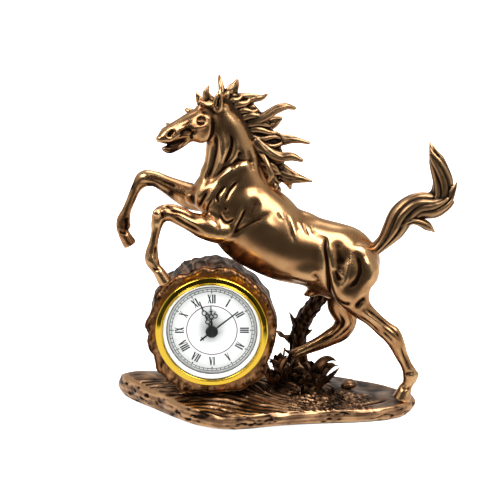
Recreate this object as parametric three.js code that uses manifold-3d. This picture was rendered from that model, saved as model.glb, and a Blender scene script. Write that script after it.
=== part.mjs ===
// Rearing horse statuette with a drop-in quartz clock, in millimetres, +Z up.
// The clock faces -Y. The origin lies under the middle of the base, on the surface that it stands on.
import * as THREE from "three";
import { mergeVertices } from "three/addons/utils/BufferGeometryUtils.js";
import Module from "manifold-3d";

// ---- Driving dimensions --------------------------------------------------------------------
const statueHeight = 216; // floor to the tip of the highest tuft of mane
const baseStretch = 1; // length and depth of the rock base against the drawn outline
const baseEdge = 9; // height of the rock base at its rim
const feltThickness = 1;
const feltInset = 6; // felt edge behind the foot of the rock

const bezelRadius = 35;
const bezelHeight = 6.6; // in front of the dial
const bezelLap = 4; // how far the bezel covers the edge of the hole in the stump
const stumpRim = 6; // wood left around the bezel
const stumpDepth = 40;
const ringThickness = 1.3; // rubber ring that grips the hole
const caseWall = 1.5;
const caseDepth = 15.5; // dial front to the back of the clock
const flangeThickness = 0.9;
const dialThickness = 0.5;
const crystalThickness = 1.2;
const plateThickness = 1.4;
const wheelThickness = 0.6;
const cellRadius = 5.8; // button cell
const cellThickness = 5.4;
const knobRadius = 5.5;
const knobHeight = 5;
const arborRadius = 0.5;
const dowelRadius = 1.2; // steel dowel in the standing leg
const dowelLength = 14;

const fitGap = 0.3; // cast pieces that are glued together
const slideGap = 0.2; // pieces that slide or turn in each other
const hairline = 0.1; // flat faces that lie on each other

// ---- Materials -----------------------------------------------------------------------------
const finish = (color, roughness, metalness) => new THREE.MeshStandardMaterial({ color, roughness, metalness });
const bronze = finish(0x9a6b43, 0.35, 0.9);
const darkBronze = finish(0x4a3526, 0.45, 0.85);
const gold = finish(0xf2c542, 0.15, 1);
const blackPlastic = finish(0x16161a, 0.45, 0);
const whitePlastic = finish(0xf2f2ef, 0.5, 0);
const dialWhite = finish(0xfafafa, 0.6, 0);
const clear = finish(0xf4fbff, 0.05, 0);
const handBlack = finish(0x0c0c0e, 0.4, 0.3);
const brass = finish(0xc9a24d, 0.3, 0.9);
const steel = finish(0xb9bcc0, 0.3, 0.95);
const copper = finish(0xb8693b, 0.35, 0.9);
const boardGreen = finish(0x1f6b45, 0.5, 0);
const rubber = finish(0x222222, 0.85, 0);
const felt = finish(0x1f3b2c, 0.95, 0);

// ---- Solids --------------------------------------------------------------------------------
const wasm = await Module();
wasm.setup();

// A closed geometry as a solid, turned the right way out.
function solid(geometry) {
  const bare = geometry.clone();
  bare.deleteAttribute("normal");
  bare.deleteAttribute("uv");
  const merged = mergeVertices(bare, 1e-4);
  const vertProperties = merged.attributes.position.array;
  const triVerts = new Uint32Array(merged.index.array);
  const made = new wasm.Manifold(new wasm.Mesh({ numProp: 3, vertProperties, triVerts }));
  if (made.volume() > 0) return made;
  const flipped = triVerts.slice().reverse();
  return new wasm.Manifold(new wasm.Mesh({ numProp: 3, vertProperties, triVerts: flipped }));
}

function geometryOf(body) {
  const mesh = body.getMesh();
  const step = mesh.numProp;
  const corners = new Float32Array(mesh.numVert * 3);
  for (let i = 0; i < mesh.numVert; i++) {
    corners.set(mesh.vertProperties.subarray(i * step, i * step + 3), i * 3);
  }
  const geometry = new THREE.BufferGeometry();
  geometry.setAttribute("position", new THREE.BufferAttribute(corners, 3));
  geometry.setIndex(new THREE.BufferAttribute(mesh.triVerts, 1));
  return geometry;
}

const join = (bodies) => bodies.reduce((all, body) => all.add(body));
const cut = (body, tools) => tools.reduce((left, tool) => left.subtract(tool), body);

// A cut may leave crumbs beside the piece itself, which is the largest of them.
function biggest(body) {
  return body.decompose().reduce((best, piece) => (piece.volume() > best.volume() ? piece : best));
}

// A closed skin over rings of points, each ring in the same order, with a point at each end.
function skin(start, rings, end) {
  const sides = rings[0].length;
  const points = [start, ...rings.flat(), end];
  const at = (ring, k) => 1 + ring * sides + (k % sides);
  const faces = [];
  for (let k = 0; k < sides; k++) {
    faces.push(0, at(0, k), at(0, k + 1));
    for (let i = 0; i + 1 < rings.length; i++) {
      faces.push(at(i, k), at(i + 1, k), at(i + 1, k + 1));
      faces.push(at(i, k), at(i + 1, k + 1), at(i, k + 1));
    }
    faces.push(points.length - 1, at(rings.length - 1, k + 1), at(rings.length - 1, k));
  }
  const geometry = new THREE.BufferGeometry().setFromPoints(points);
  geometry.setIndex(faces);
  return solid(geometry);
}

const turnOf = (k, count) => (2 * Math.PI * k) / count;

// ---- Sculpted forms ------------------------------------------------------------------------
// They are drawn for a statue 216 mm high whose rock is 9 mm high at the rim, and stretched
// from there. A station is [x, y, z, high, wide]: a centre, the half height of the section
// across the path in the XZ plane, and its half width towards the viewer.
const drawnHeight = 216;
const drawnEdge = 9;
const size = (statueHeight - baseEdge) / (drawnHeight - drawnEdge);
const place = (x, y, z) => new THREE.Vector3(x * size, y * size, baseEdge + (z - drawnEdge) * size);

// An elliptical section carried along the stations.
// grow thickens it all over, which makes the pocket that a neighbour is glued into.
function limb(stations, grow = 0) {
  const thickest = Math.max(...stations.map((station) => station[3]));
  const sides = thickest > 7 ? 12 : 8;
  const centres = stations.map(([x, y, z]) => place(x, y, z));
  const last = centres.length - 1;
  const depthward = new THREE.Vector3(0, 1, 0);
  const ends = [];
  const rings = stations.map(([, , , high, wide], i) => {
    const before = centres[Math.max(i - 1, 0)];
    const after = centres[Math.min(i + 1, last)];
    const along = after.clone().sub(before).normalize();
    const across = depthward.clone().addScaledVector(along, -depthward.dot(along)).normalize();
    const upward = across.clone().cross(along);
    const centre = centres[i].clone();
    if (i === 0) centre.addScaledVector(along, -grow);
    if (i === last) centre.addScaledVector(along, grow);
    if (i === 0 || i === last) ends.push(centre);
    return Array.from({ length: sides }, (_, k) => {
      const turn = turnOf(k, sides);
      return centre
        .clone()
        .addScaledVector(upward, (high * size + grow) * Math.sin(turn))
        .addScaledVector(across, (wide * size + grow) * Math.cos(turn));
    });
  });
  return skin(ends[0], rings, ends[1]);
}

// ---- The horse -----------------------------------------------------------------------------
const torso = [
  [-47.5, -1, 138.5, 5, 5], [-39.5, -1, 139.5, 15, 12.5], [-23, -1, 134, 23, 16], [-6.5, -1, 120, 26.5, 18],
  [11.5, 0, 107.5, 23.5, 19], [28, 0, 103, 22.5, 18], [42, 0, 98, 23.5, 17], [55, 0, 92.5, 22, 16.5],
  [64, 0, 94, 16, 13], [70, 0, 96.5, 4, 5],
];
const neck = [
  [-19, -1, 139, 23, 14], [-21.5, -1, 153.5, 19.5, 13], [-23, -2, 165.5, 17, 10.5], [-25, -3, 176, 14, 9],
  [-27.5, -4, 185.5, 11.5, 8], [-29.5, -5, 193.5, 7, 6.5],
];
const head = [
  [-28.5, -4, 192, 7.5, 6], [-34, -6, 189.5, 11, 7], [-40, -9, 186, 12, 7.5], [-47.5, -13, 185, 9, 7],
  [-53.5, -16, 184, 6.5, 5.5], [-59, -19, 182, 5.5, 5], [-63, -21, 180.5, 5, 5], [-66, -23, 179.5, 2.5, 3],
];
const jaw = [
  [-46, -11.5, 180, 3, 4], [-49.5, -13, 178, 2.5, 4], [-53.5, -15, 175.5, 2.5, 3.5], [-57.5, -17, 173.5, 2.5, 3.5],
  [-61.5, -19, 172.5, 2.5, 3], [-63.5, -20, 173, 1.5, 2],
];
const nearEar = [[-31, -7.5, 193, 3, 3], [-30.5, -9.5, 202, 2.5, 2.5], [-29.5, -9, 207.5, 0.5, 1]];
const farEar = [[-38, -3.5, 193, 3, 3], [-42.5, -3, 200.5, 2.5, 2], [-44.5, -3, 205.5, 0.5, 0.5]];
const sheath = [[34, 0, 82, 5, 5], [26, 0, 76, 3, 4], [23, 0, 75, 1.5, 2]];

const leftForeleg = [
  [-25, -11, 118.5, 8.5, 8], [-34.5, -13, 121, 8.5, 8], [-40.5, -14, 123, 8, 7], [-47, -15, 126, 6.5, 6],
  [-54.5, -16, 129.5, 5.5, 5], [-61, -17, 132, 5, 5], [-66, -17.5, 131, 5, 5], [-68.5, -18, 126, 4, 4],
  [-69.5, -18.5, 120.5, 3, 3], [-71, -19, 113.5, 3, 3], [-72, -19.5, 108, 4, 3.5], [-72, -20, 103, 4.5, 4.5],
  [-70, -20.5, 98.5, 3.5, 3.5], [-67, -21, 95, 3.5, 3.5], [-63.5, -20.5, 88.5, 4, 5],
];
const rightForeleg = [
  [-32, 7.5, 133, 8, 7], [-39.5, 8.5, 135, 8.5, 7.5], [-49, 12, 136.5, 8.5, 8], [-57, 13, 140, 7, 7],
  [-65, 14, 144, 5.5, 6], [-71.5, 14.5, 147, 5, 5], [-78, 15, 147, 5.5, 5], [-83, 15, 141.5, 3.5, 3.5],
  [-86.5, 15, 134, 3, 3], [-89.5, 15, 127, 3, 3], [-92, 15, 119, 4.5, 4], [-92.5, 15, 113, 3.5, 3.5],
  [-90, 15, 109, 4.5, 4.5], [-87.5, 15, 104, 4, 4.5],
];
const leftHindLeg = [
  [52.5, -10, 93.5, 19, 8.5], [53, -10.5, 79.5, 12.5, 9], [58, -10.5, 70, 7.5, 7.5], [65.5, -11, 63, 5.5, 6],
  [72.5, -11.5, 56.5, 5.5, 5], [78, -12, 51.5, 5.5, 5], [81, -12, 45.5, 4.5, 4], [83.5, -12, 39, 3.5, 3.5],
  [87, -12, 32, 3, 3.5], [90, -12, 24.5, 4.5, 4.5], [88.5, -12, 19, 3.5, 4], [86.5, -12, 14.5, 4.5, 5],
  [85, -12, 9.5, 6, 6],
];
const rightHindLeg = [
  [51.5, 10, 79, 13, 8.5], [46.5, 10.5, 65.5, 8.5, 8], [50, 11, 55.5, 6.5, 6.5], [47, 11.5, 48.5, 5.5, 5],
  [40.5, 12, 44, 4.5, 4], [32.5, 12, 39.5, 3.5, 3.5], [24, 12, 35.5, 3, 3.5], [17.5, 12, 31.5, 3, 4],
  [17.5, 12, 27, 2.5, 3.5], [19, 12, 23.5, 3, 4.5], [21, 12, 19.5, 4, 5],
];

const tailMain = [
  [65, 0, 103, 4, 5], [72, 0, 110, 5.5, 5.5], [78, 0, 118.5, 8.5, 6.5], [84.5, 0, 127.5, 9, 7],
  [94, 0, 132, 9, 7], [104, 0, 132, 7.5, 6.5], [112, -1, 137, 5, 5], [115.5, -2, 143.5, 2.5, 3],
  [117.5, -3, 148.5, 0.5, 1],
];
const tailPlume = [
  [100.5, 2, 133, 6.5, 6], [108, 2, 138.5, 7, 6], [109.5, 2, 146.5, 7, 5.5], [108, 2, 154, 6.5, 5],
  [105.5, 2, 161.5, 5.5, 4], [102, 2, 168.5, 3, 3], [100.5, 2, 173, 0.5, 1],
];
const tailLock = [
  [82.5, -2, 121.5, 4.5, 4], [90, -3, 124, 3, 3.5], [97, -4, 122.5, 3, 3], [101.5, -4, 119.5, 2.5, 2.5],
  [104, -4, 117, 1, 1],
];

const maneCrest = [
  [-27.5, -4, 202, 4, 4], [-21, -3, 195, 4.5, 4], [-15.5, -2, 186.5, 4.5, 4], [-10.5, -1, 176, 4, 4],
  [-5.5, -1, 165.5, 4, 4], [-1.5, 0, 154.5, 3, 3.5], [3, 0, 147, 2, 3],
];
const maneLocks = [
  [[-28.5, -4, 200, 3, 3], [-28.5, -3, 207.5, 2, 2.5], [-29.5, -2, 213, 1.5, 1.5], [-30, -2, 216, 0.5, 0.5]],
  [[-25, -3, 201, 4, 3], [-22, -2, 207.5, 3, 2.5], [-20.5, -2, 211, 1.5, 1.5], [-20.5, -2, 213, 0.5, 0.5]],
  [[-23.5, -3, 197.5, 5.5, 3], [-15.5, -2, 200.5, 5, 3], [-9, -1, 201.5, 2, 2], [-4, -1, 201.5, 1.5, 1.5],
    [0, -1, 204, 0.5, 0.5]],
  [[-17.5, -2, 187, 4, 3], [-9.5, -3, 187, 3, 3], [-2.5, -3, 190, 3, 3], [4, -2, 194, 2.5, 2.5],
    [11.5, -1, 196, 2, 2], [17, 0, 195, 0.5, 1]],
  [[-12.5, 0, 182, 5, 3], [-4, 2, 184.5, 5, 2.5], [4, 3, 186.5, 3, 2], [8.5, 3, 188.5, 0.5, 1]],
  [[-10, 0, 176.5, 6.5, 3], [0, 1, 175.5, 5.5, 2.5], [9, 1, 175, 3, 2], [18.5, 1, 174.5, 1.5, 1.5],
    [26, 1, 172.5, 0.5, 1]],
  [[-8, -3, 174, 4, 3], [-1.5, -4, 168.5, 3.5, 3], [7.5, -4, 165, 2.5, 2.5], [16, -4, 165.5, 2, 2],
    [22, -4, 163, 0.5, 1]],
  [[-4, 0, 165, 5, 3], [4.5, 1, 156.5, 5.5, 3], [13.5, 1, 151.5, 4.5, 2.5], [21, 0, 150, 2, 2],
    [27.5, 0, 148.5, 0.5, 1]],
  [[-5, -4, 168, 2, 2], [0.5, -8, 159, 1.5, 2], [1.5, -8.5, 153, 1.5, 1.5], [0, -8, 149, 0.5, 0.5]],
  [[9, 2, 151, 3, 2], [13, 4, 146, 2, 2], [14, 4, 142.5, 0.5, 1]],
  [[-28, -5, 200, 3, 3], [-33, -7, 200, 3, 3], [-37, -8, 202, 3, 2.5], [-38, -9, 206, 2, 2], [-36, -9, 210.5, 0.5, 0.5]],
  [[-32, -7, 199.5, 2.5, 3], [-38, -11, 199, 2, 2.5], [-42, -12, 200.5, 1, 1.5]],
];

const bodyForms = [torso, neck, head, jaw, nearEar, farEar, sheath];
const legForms = [leftForeleg, rightForeleg, leftHindLeg, rightHindLeg];
const sculpted = (forms, grow = 0) => join(forms.map((stations) => limb(stations, grow)));

const makeHorseBody = () => biggest(cut(sculpted(bodyForms), [sculpted([...legForms, tailMain], fitGap)]));
const makeTail = () => sculpted([tailMain, tailPlume, tailLock]);
const makeMane = () => biggest(cut(sculpted([maneCrest, ...maneLocks]), [sculpted(bodyForms, fitGap)]));

// A steel dowel ties the standing leg to the rock.
const dowelFoot = place(86, -12, 3);
const makeDowel = (grow = 0) =>
  standing(dowelRadius + grow, dowelLength + 2 * grow, 16).translate([dowelFoot.x, dowelFoot.y, dowelFoot.z - grow]);
const makeStandingLeg = () => limb(leftHindLeg).subtract(makeDowel(fitGap));

// A cylinder that stands on the origin.
function standing(radius, height, segments) {
  const geometry = new THREE.CylinderGeometry(radius, radius, height, segments);
  geometry.rotateX(Math.PI / 2);
  geometry.translate(0, 0, height / 2);
  return solid(geometry);
}

// ---- The rock, and what grows on it ------------------------------------------------------
const rockOutline = [
  [-24, -48], [5, -42], [35, -36], [62, -32], [84, -25], [93, -12], [95, 2], [88, 14], [76, 26], [58, 36],
  [35, 42], [5, 45], [-30, 46], [-62, 46], [-88, 42], [-98, 30], [-92, 14], [-76, -6], [-60, -26], [-44, -41],
];
const rockSides = 44;
const rockCurve = new THREE.CatmullRomCurve3(rockOutline.map(([x, y]) => new THREE.Vector3(x, y, 0)), true);
const rockRim = rockCurve.getSpacedPoints(rockSides).slice(0, rockSides);

// The top swells under the clock, under the ferns, and a little at the left tip.
const swell = (x, y, [cx, cy], [rx, ry]) => Math.exp(-(((x - cx) / rx) ** 2) - ((y - cy) / ry) ** 2);
const ground = (x, y) =>
  drawnEdge +
  11 * swell(x, y, [-32, -4], [42, 26]) +
  7 * swell(x, y, [22, 8], [26, 20]) +
  4 * swell(x, y, [-84, 20], [16, 20]);

// A ring of the rock: the outline drawn in towards the middle, at a given height.
function rockRing(inward, heightAt) {
  return rockRim.map((rim) => {
    const reach = 1 - inward / rim.length();
    const [x, y] = [rim.x * reach, rim.y * reach];
    const point = place(x * baseStretch, y * baseStretch, heightAt(x * baseStretch, y * baseStretch));
    return point;
  });
}

// The foot of the rock is a little inside its rim, and the top follows the ground.
function makeRock(neighbours) {
  const footHeight = feltThickness + hairline;
  const foot = rockRing(3, () => 0);
  foot.forEach((point) => (point.z = footHeight));
  const belt = rockRing(0, () => drawnEdge / 2);
  const rim = rockRing(2, ground);
  const inner = [0.8, 0.55, 0.3].map((reach) =>
    rockRim.map(({ x, y }) => {
      const [sx, sy] = [x * reach * baseStretch, y * reach * baseStretch];
      return place(sx, sy, ground(sx, sy));
    }),
  );
  const rock = skin(new THREE.Vector3(0, 0, footHeight), [foot, belt, rim, ...inner], place(0, 0, ground(0, 0)));
  return biggest(cut(rock, neighbours));
}

function makeFelt() {
  const ringAt = (z) => {
    const ring = rockRing(feltInset, () => 0);
    ring.forEach((point) => (point.z = z));
    return ring;
  };
  const middle = (z) => new THREE.Vector3(0, 0, z);
  return skin(middle(0), [ringAt(0), ringAt(feltThickness)], middle(feltThickness));
}

const branch = [
  [24, 22, 11.5, 5.5, 6], [21, 22, 25.5, 5.5, 6], [20, 21.5, 38, 5.5, 5.5], [22, 20, 49.5, 5.5, 5.5],
  [27, 16, 60, 5, 5.5], [32, 11, 68, 5, 5], [37, 7, 75.5, 4, 4.5],
];
const thorns = [
  [[21, 20, 46.5, 2.5, 2], [16.5, 19, 52.5, 1.5, 1.5], [14, 18, 58.5, 0.5, 0.5]],
  [[20, 21, 38.5, 2.5, 2], [11, 19, 42, 1.5, 2], [5.5, 18, 46, 0.5, 0.5]],
];
const branchForms = [branch, ...thorns];

// Fern blades fan out from one tuft, each an arching leaf that narrows to its tip.
const tuft = [[31, -4, 10, 8, 12], [31, -4, 17, 6, 9], [31, -4, 22, 2, 3]];
const bladeCount = 9;
const blades = Array.from({ length: bladeCount }, (_, i) => {
  const spread = i / (bladeCount - 1) - 0.5; // -0.5 leans left, +0.5 leans right
  const [reach, rise] = [26 * spread, 17 - 16 * spread ** 2 - 3 * (i % 2)];
  const depth = -4 + (i % 3) * 4 - 5;
  return [
    [31 + reach * 0.1, -4, 15, 2, 2.5],
    [31 + reach * 0.5, (depth - 4) / 2, 16 + rise * 0.75, 1.2, 2],
    [31 + reach, depth, 15 + rise, 0.4, 0.6],
  ];
});
const fernForms = [tuft, ...blades];
const pebble = [[49, 12, 12, 1, 2], [50, 12, 12, 2.5, 4], [54, 12, 12, 3, 5], [57, 12, 12, 1, 2]];

// Whatever grows beside the stump and under the horse makes room for them.
const makeBranch = () =>
  biggest(cut(sculpted(branchForms), [sculpted([...bodyForms, ...legForms], fitGap), grownStump()]));
const makeFerns = () =>
  biggest(cut(sculpted(fernForms), [sculpted([...branchForms, rightHindLeg], fitGap), grownStump()]));
const makePebble = () => limb(pebble);

// ---- The stump that holds the clock --------------------------------------------------------
const stumpRadius = bezelRadius + stumpRim;
const boreRadius = bezelRadius - bezelLap;
const stumpTop = place(0, 0, 100.5).z;
const stumpFront = place(0, -26, 0).y;
const clockCentre = new THREE.Vector3(place(-35, 0, 0).x, 0, stumpTop - stumpRadius);
const stumpSides = 32;

// A ring of the log about the clock's axis; the bark makes long shallow ridges.
function logRing(radius, y, bark) {
  return Array.from({ length: stumpSides }, (_, k) => {
    const turn = turnOf(k, stumpSides);
    const ridge = radius + bark * Math.cos(9 * turn + y / 9);
    return new THREE.Vector3(clockCentre.x + ridge * Math.cos(turn), y, clockCentre.z + ridge * Math.sin(turn));
  });
}

function makeLog(grow = 0) {
  const bark = 0.7;
  const [front, back] = [stumpFront - grow, stumpFront + stumpDepth + grow];
  const rings = [
    logRing(stumpRadius - 2.5 + grow, front, 0),
    logRing(stumpRadius - bark + grow, front + 2, bark),
    logRing(stumpRadius - bark + grow, (front + back) / 2, bark),
    logRing(stumpRadius - bark + grow, back - 2, bark),
    logRing(stumpRadius - 2.5 + grow, back, 0),
  ];
  const middle = (y) => new THREE.Vector3(clockCentre.x, y, clockCentre.z);
  return skin(middle(front), rings, middle(back));
}

// Roots that carry the log down to the rock, under its middle.
function makeRoots(grow = 0) {
  const top = clockCentre.z;
  const bottom = place(0, 0, ground(-35, -4) - 3).z - grow;
  const middleY = stumpFront + stumpDepth / 2;
  const ring = (z, halfX, halfY) =>
    Array.from({ length: 24 }, (_, k) => {
      const turn = turnOf(k, 24);
      const x = clockCentre.x + (halfX + grow) * Math.cos(turn);
      return new THREE.Vector3(x, middleY + (halfY + grow) * Math.sin(turn), z);
    });
  const [halfX, halfY] = [stumpRadius * 0.85, stumpDepth * 0.44];
  const middle = (z) => new THREE.Vector3(clockCentre.x, middleY, z);
  return skin(middle(bottom), [ring(bottom, halfX, halfY), ring(top, halfX * 0.9, halfY)], middle(top));
}

// A burr on the log, on which the forehoof stands.
const burr = [[-63.5, -20.5, 88.5, 3.5, 4], [-58.5, -20, 83.5, 3.5, 4]];

function makeStump() {
  const bore = lathe([[0, -stumpDepth], [boreRadius, -stumpDepth], [boreRadius, stumpDepth * 2], [0, stumpDepth * 2]]);
  const placedBore = bore.translate([clockCentre.x, stumpFront, clockCentre.z]);
  const wood = join([makeLog(), makeRoots(), limb(burr)]);
  return biggest(cut(wood, [placedBore, sculpted([torso, ...legForms], fitGap)]));
}

// ---- Turned and stamped pieces of the clock ------------------------------------------------
// In the clock's own frame the axis is Y, the dial's front face is at Y = 0 and Y grows to the back.

// A profile of [radius, depth] points turned about the axis.
function lathe(profile, segments = stumpSides) {
  const points = profile.map(([radius, depth]) => new THREE.Vector2(radius, depth));
  const onAxis = profile[0][0] === 0;
  if (!onAxis) points.push(points[0].clone());
  return solid(new THREE.LatheGeometry(points, segments));
}

const disc = (radius, front, back, segments) =>
  lathe([[0, front], [radius, front], [radius, back], [0, back]], segments);
const washer = (inner, outer, front, back, segments) =>
  lathe([[inner, front], [outer, front], [outer, back], [inner, back]], segments);
const moved = (body, [across, up]) => body.translate([across, 0, up]);

// A flat outline, drawn as it is seen from the front, stamped out of sheet.
function stamped(shape, front, thickness, curveSegments = 6) {
  const geometry = new THREE.ExtrudeGeometry(shape, { depth: thickness, bevelEnabled: false, curveSegments });
  geometry.rotateX(Math.PI / 2);
  geometry.translate(0, front + thickness, 0);
  return solid(geometry);
}

const outline = (points) => new THREE.Shape(points.map(([x, y]) => new THREE.Vector2(x, y)));
const rectangle = (left, bottom, right, top) =>
  outline([[left, bottom], [right, bottom], [right, top], [left, top]]);

// ---- Clock housing -------------------------------------------------------------------------
const dialBack = dialThickness;
const flangeBack = slideGap; // the bezel and the flange stop just short of the wood
const flangeFront = flangeBack - flangeThickness;
const woodFace = flangeBack + fitGap; // depth of the stump's face behind the dial's front
const caseRadius = boreRadius - ringThickness - slideGap;
const caseInner = caseRadius - caseWall;
const flangeRadius = boreRadius + 1.6;
const dialRadius = caseInner - slideGap;
const crystalRadius = boreRadius - hairline;
const bezelFront = -bezelHeight;
const crystalFront = bezelFront + 0.8;
const crystalBack = crystalFront + crystalThickness;
const floorFront = caseDepth - caseWall;

const plateFront = dialBack + fitGap;
const plateBack = plateFront + plateThickness;
const wheelGap = 0.8; // between one layer of wheels and the next
const layer = (number) => plateBack + fitGap * 2 + number * (wheelThickness + wheelGap);
const [hourLayer, minuteLayer, centreLayer, thirdLayer, secondsLayer, fifthLayer] = [0, 1, 2, 3, 4, 5].map(layer);

const cellPlace = [-14, 14];
const pocketRadius = cellRadius + 0.5;
const pocketFloor = caseDepth - cellThickness - 1.9;
const bossRadius = pocketRadius + 0.9;

function makeBezel() {
  const lip = crystalRadius - 0.5;
  const pocket = crystalRadius + fitGap;
  return lathe([
    [bezelRadius, flangeBack], [bezelRadius, -1.2], [bezelRadius - 0.9, -2.2], [bezelRadius - 1.8, -2.9],
    [bezelRadius - 2.2, -4.4], [bezelRadius - 2.9, -5.8], [bezelRadius - 3.9, bezelFront],
    [lip, bezelFront + 0.2], [lip, crystalFront - hairline], [pocket, crystalFront - hairline],
    [pocket, flangeFront - slideGap], [flangeRadius + fitGap, flangeFront - slideGap],
    [flangeRadius + fitGap, flangeBack],
  ]);
}

const makeCrystal = () => disc(crystalRadius, crystalFront, crystalBack);
const dialHole = 3.2;
const makeDial = () => washer(dialHole, dialRadius, 0, dialBack);

// White ring that spaces the crystal off the flange and frames the dial.
function makeDialRing() {
  const outer = crystalRadius - 0.6;
  return lathe([
    [dialRadius + fitGap, flangeFront - slideGap], [dialRadius + 1.7, crystalBack + slideGap],
    [outer, crystalBack + slideGap], [outer, flangeFront - slideGap],
  ]);
}

// Every arbor turns in a blind hole in the plate and another in the floor of the case.
const pivotRadius = arborRadius + slideGap;
const pivotDepth = 0.8;
const arborFront = plateBack - pivotDepth + slideGap;
const arborBack = floorFront + pivotDepth - slideGap;
const centrePlace = [0, 0];
const thirdPlace = [-6.77, -2.46];
const motionPlace = [3, 5.2];
const knobPlace = [8.6, 7.25];
const fifthPlace = [5.5, -4.6];
const rotorPlace = [9, -10.7];

function makeCase() {
  const cup = lathe([
    [0, floorFront], [caseInner, floorFront], [caseInner, flangeFront], [flangeRadius, flangeFront],
    [flangeRadius, flangeBack], [caseRadius, flangeBack], [caseRadius, caseDepth], [0, caseDepth],
  ]);
  const boss = moved(disc(bossRadius, pocketFloor - 0.6, caseDepth, 32), cellPlace);
  const pocket = moved(disc(pocketRadius, pocketFloor, caseDepth + 1, 32), cellPlace);
  const stemHole = moved(disc(knobStem + fitGap, floorFront - 1, caseDepth + 1, 16), knobPlace);
  const pivots = [centrePlace, thirdPlace, fifthPlace, rotorPlace].map((spot) =>
    moved(disc(pivotRadius, floorFront - 1, floorFront + pivotDepth, 12), spot),
  );
  return cut(cup.add(boss), [pocket, stemHole, ...pivots]);
}

// The plate carries the wheels, and its bush comes through the dial to guide the hands.
const bushRadius = 3;
const bushBore = 2.2;
function makePlate() {
  const bush = washer(bushBore, bushRadius, -0.6, plateBack, 24);
  const plate = washer(bushBore + hairline, caseInner - slideGap, plateFront, plateBack);
  const pivots = [thirdPlace, fifthPlace, rotorPlace, motionPlace].map((spot) =>
    moved(disc(pivotRadius, plateBack - pivotDepth, plateBack + 1, 12), spot),
  );
  return cut(bush.add(plate), pivots);
}

// Rubber ring around the barrel, with two ribs that grip the hole.
function makeRing() {
  const inner = caseRadius + slideGap;
  const [root, tip] = [boreRadius - 0.6, boreRadius - slideGap];
  return lathe([
    [inner, 3], [root, 3], [root, 4], [tip, 5.5], [root, 7], [root, 8], [tip, 9.5], [root, 11], [root, 12],
    [inner, 12],
  ]);
}

// ---- Hands and wheels ----------------------------------------------------------------------
// Turns of the hands are in degrees clockwise from twelve.
const hourTurn = -1.8;
const minuteTurn = -21.5;
const secondTurn = 51.7;

const minutePipe = { inner: arborRadius + 0.25, outer: 1.2 };
const hourPipe = { inner: minutePipe.outer + 0.3, outer: 2 };
const handThickness = 0.4;
const hourFront = -1.7;
const minuteFront = hourFront - 1;
const secondFront = minuteFront - 0.9;

const turned = (body, clockwise) => body.rotate([0, clockwise, 0]);

// A black openwork hand: a hub, a stem with a pierced ring on it, and a long point.
function handOutline(length, hubRadius, ringAt, ringRadius) {
  const shape = new THREE.Shape();
  const stem = 0.5;
  const lowGap = Math.asin(stem / ringRadius);
  const hubGap = Math.asin(stem / hubRadius);
  shape.moveTo(0, length);
  shape.lineTo(-stem, ringAt + ringRadius * Math.cos(lowGap));
  shape.absarc(0, ringAt, ringRadius, Math.PI / 2 + lowGap, Math.PI * 1.5 - lowGap, false);
  shape.absarc(0, 0, hubRadius, Math.PI / 2 + hubGap, Math.PI * 2.5 - hubGap, false);
  shape.absarc(0, ringAt, ringRadius, -Math.PI / 2 + lowGap, Math.PI / 2 - lowGap, false);
  const hole = new THREE.Path();
  hole.absarc(0, ringAt, ringRadius - 0.7, 0, 2 * Math.PI, true);
  shape.holes.push(hole);
  return shape;
}

function makeHourHand() {
  const blade = stamped(handOutline(16.5, 3, 8, 2.8), hourFront, handThickness);
  return turned(blade.subtract(disc(hourPipe.outer + hairline, hourFront - 1, hourFront + 1, 24)), hourTurn);
}

function makeMinuteHand() {
  const blade = stamped(handOutline(20.7, 2.4, 9, 2.8), minuteFront, handThickness);
  const hole = disc(minutePipe.outer + hairline, minuteFront - 1, minuteFront + 1, 24);
  return turned(blade.subtract(hole), minuteTurn);
}

// The seconds hand is a needle with a crossed tail, under a round cap.
function makeSecondHand() {
  const needle = stamped(outline([[-0.45, -8.5], [0.45, -8.5], [0.2, 20.9], [-0.2, 20.9]]), secondFront, handThickness);
  const cross = stamped(rectangle(-1.2, -7.4, 1.2, -6.6), secondFront, handThickness);
  const cap = disc(3.9, secondFront - 0.6, secondFront + handThickness + 0.1, 32);
  const socket = disc(arborRadius + hairline, secondFront + 0.1, secondFront + 2, 12);
  return turned(join([needle, cross, cap]).subtract(socket), secondTurn);
}

// A stamped wheel with pointed teeth; tooth 0 stands at an angle clockwise from straight up.
function wheel(teeth, pitchRadius, front, clockwise) {
  const points = [];
  for (let k = 0; k < teeth * 2; k++) {
    const radius = pitchRadius + (k % 2 ? -0.24 : 0.12);
    const turn = clockwise + turnOf(k, teeth * 2);
    points.push([radius * Math.sin(turn), radius * Math.cos(turn)]);
  }
  return stamped(outline(points), front, wheelThickness);
}

const spanOf = ([ax, ay], [bx, by]) => Math.hypot(bx - ax, by - ay);
// Clockwise direction from one arbor to another, as seen from the front.
const wayOf = ([ax, ay], [bx, by]) => Math.atan2(bx - ax, by - ay);

// Two wheels that mesh: their pitch radii share the distance between the arbors, and a tooth of
// one stands in a gap of the other.
function meshed(driver, driven, from, to, driverTurn) {
  const span = spanOf(from, to);
  const way = wayOf(from, to);
  const offset = ((way - driverTurn) * driver) / (2 * Math.PI);
  const part = offset - Math.floor(offset);
  const drivenTurn = way + Math.PI - (0.5 - part) * ((2 * Math.PI) / driven);
  return {
    driver: (span * driver) / (driver + driven),
    driven: (span * driven) / (driver + driven),
    drivenTurn,
  };
}

const arbor = (from, to, spot) => moved(disc(arborRadius, from, to, 12), spot);

// Motion work: minute pipe to motion wheel, its pinion to the hour wheel, and the setting knob.
const minuteMesh = meshed(12, 36, centrePlace, motionPlace, 0);
const hourMesh = meshed(10, 40, motionPlace, centrePlace, 0);
const knobMesh = meshed(36, 12, motionPlace, knobPlace, minuteMesh.drivenTurn);
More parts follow.
